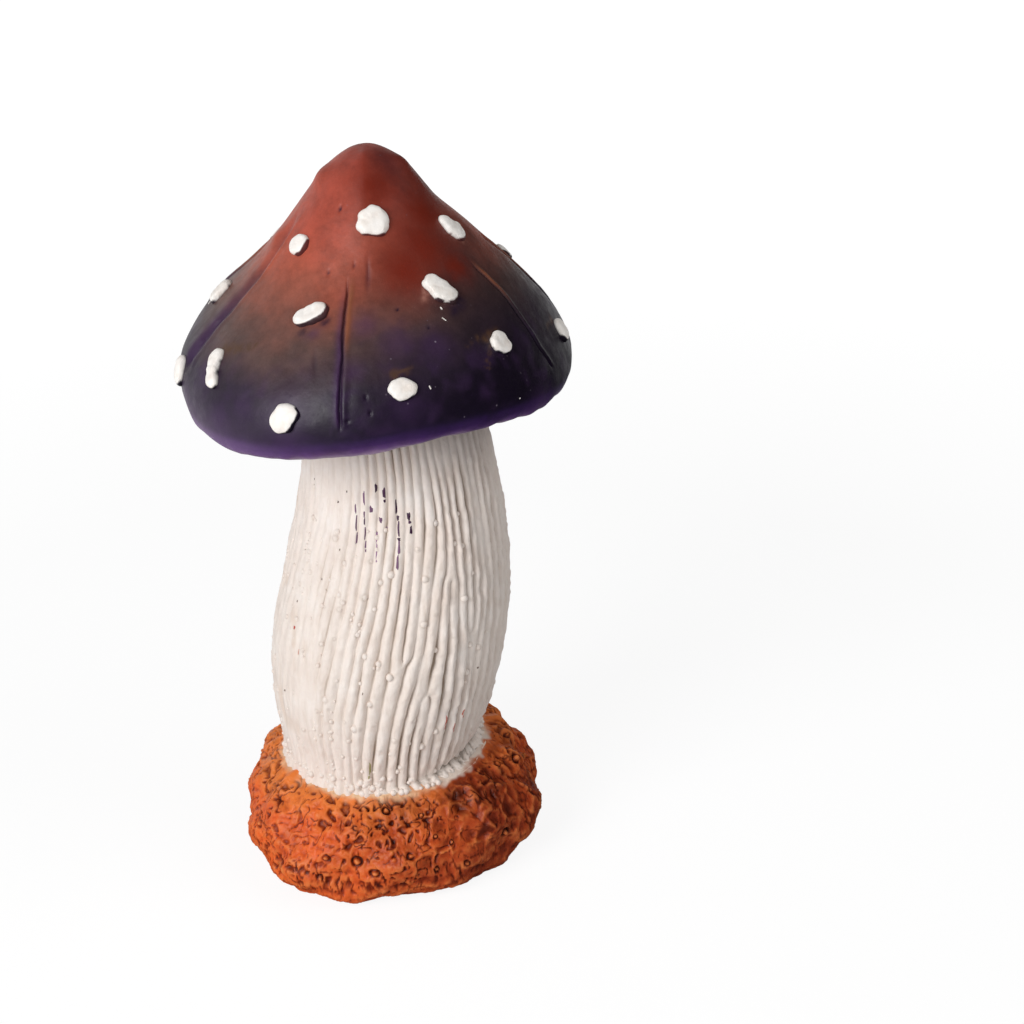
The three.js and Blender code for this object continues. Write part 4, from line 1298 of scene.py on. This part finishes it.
def plainWorld():
    # white to the camera; white behind and dim in front to reflections; soft light, less of it from above
    world = bpy.data.worlds.new("studio")
    bpy.context.scene.world = world
    world.use_nodes = True
    world.cycles.sampling_method = "NONE"
    tree = world.node_tree
    rays = addNode(tree, "LightPath").outputs
    way = addNode(tree, "TexCoord").outputs["Generated"]
    sweep = roomBehind(tree, way, 0.45, 0.95)
    up = addNode(tree, "SeparateXYZ", {0: way}).outputs["Z"]
    soft = addNode(tree, "MapRange", {0: up, 1: 0.0, 2: 0.75, 3: lightSet["horizon"], 4: lightSet["zenith"]})
    level = addNode(tree, "Mix", {0: rays["Is Glossy Ray"], 2: soft.outputs[0], 3: sweep})
    straight = {0: rays["Is Camera Ray"], 1: rays["Is Transmission Ray"]}
    seen = addNode(tree, "Math", straight, operation="MAXIMUM")
    white = addNode(tree, "Mix", {0: seen.outputs[0], 2: level.outputs[0], 3: 1.0})
    tree.links.new(white.outputs[0], tree.nodes["Background"].inputs["Strength"])
    tree.nodes["Background"].inputs["Color"].default_value = (1, 1, 1, 1)


def plainFloor():
    half, below = 3.0, -0.05 * mm
    corners = [(-half, -half, below), (half, -half, below), (half, half, below), (-half, half, below)]
    mesh = bpy.data.meshes.new("floor")
    mesh.from_pydata(corners, [], [(0, 1, 2, 3)])
    floor = bpy.data.objects.new("floor", mesh)
    bpy.context.scene.collection.objects.link(floor)
    # matt white board: shaded by the object, lifted towards white for the camera
    material, tree, shader, where = newMaterial("matt_white_board", 0.9)
    shader.inputs["Base Color"].default_value = toLinear(lightSet["floor"])
    shader.inputs["Specular IOR Level"].default_value = 0.1
    rays = addNode(tree, "LightPath").outputs
    away = addNode(tree, "VectorMath", {0: where}, operation="LENGTH").outputs["Value"]
    near, far = lightSet["floorGlow"]
    glow = addNode(tree, "MapRange", {0: away, 1: 0.12, 2: 0.4, 3: near, 4: far})
    share = addNode(tree, "Math", {0: rays["Is Camera Ray"], 1: glow.outputs[0]}, operation="MULTIPLY")
    white = addNode(tree, "Emission", {"Color": (1, 1, 1, 1), "Strength": lightSet["floorWhite"]})
    both = addNode(tree, "MixShader", {0: share.outputs[0], 1: shader.outputs[0], 2: white.outputs[0]})
    # reflections see it as they see the room
    dim = addNode(tree, "Emission", {"Color": (1, 1, 1, 1), "Strength": roomBehind(tree, where, 0.0, 0.15)})
    last = addNode(tree, "MixShader", {0: rays["Is Glossy Ray"], 1: both.outputs[0], 2: dim.outputs[0]})
    tree.links.new(last.outputs[0], tree.nodes["Material Output"].inputs["Surface"])
    mesh.materials.append(material)


placeCamera()
centre = (cadBox[0] + cadBox[1]) / 2
for lamp in ("key", "fill"):
    placeLamp(lamp, centre)
plainWorld()
plainFloor()
bpy.context.scene.view_settings.view_transform = "Standard"
print("camera and light done")
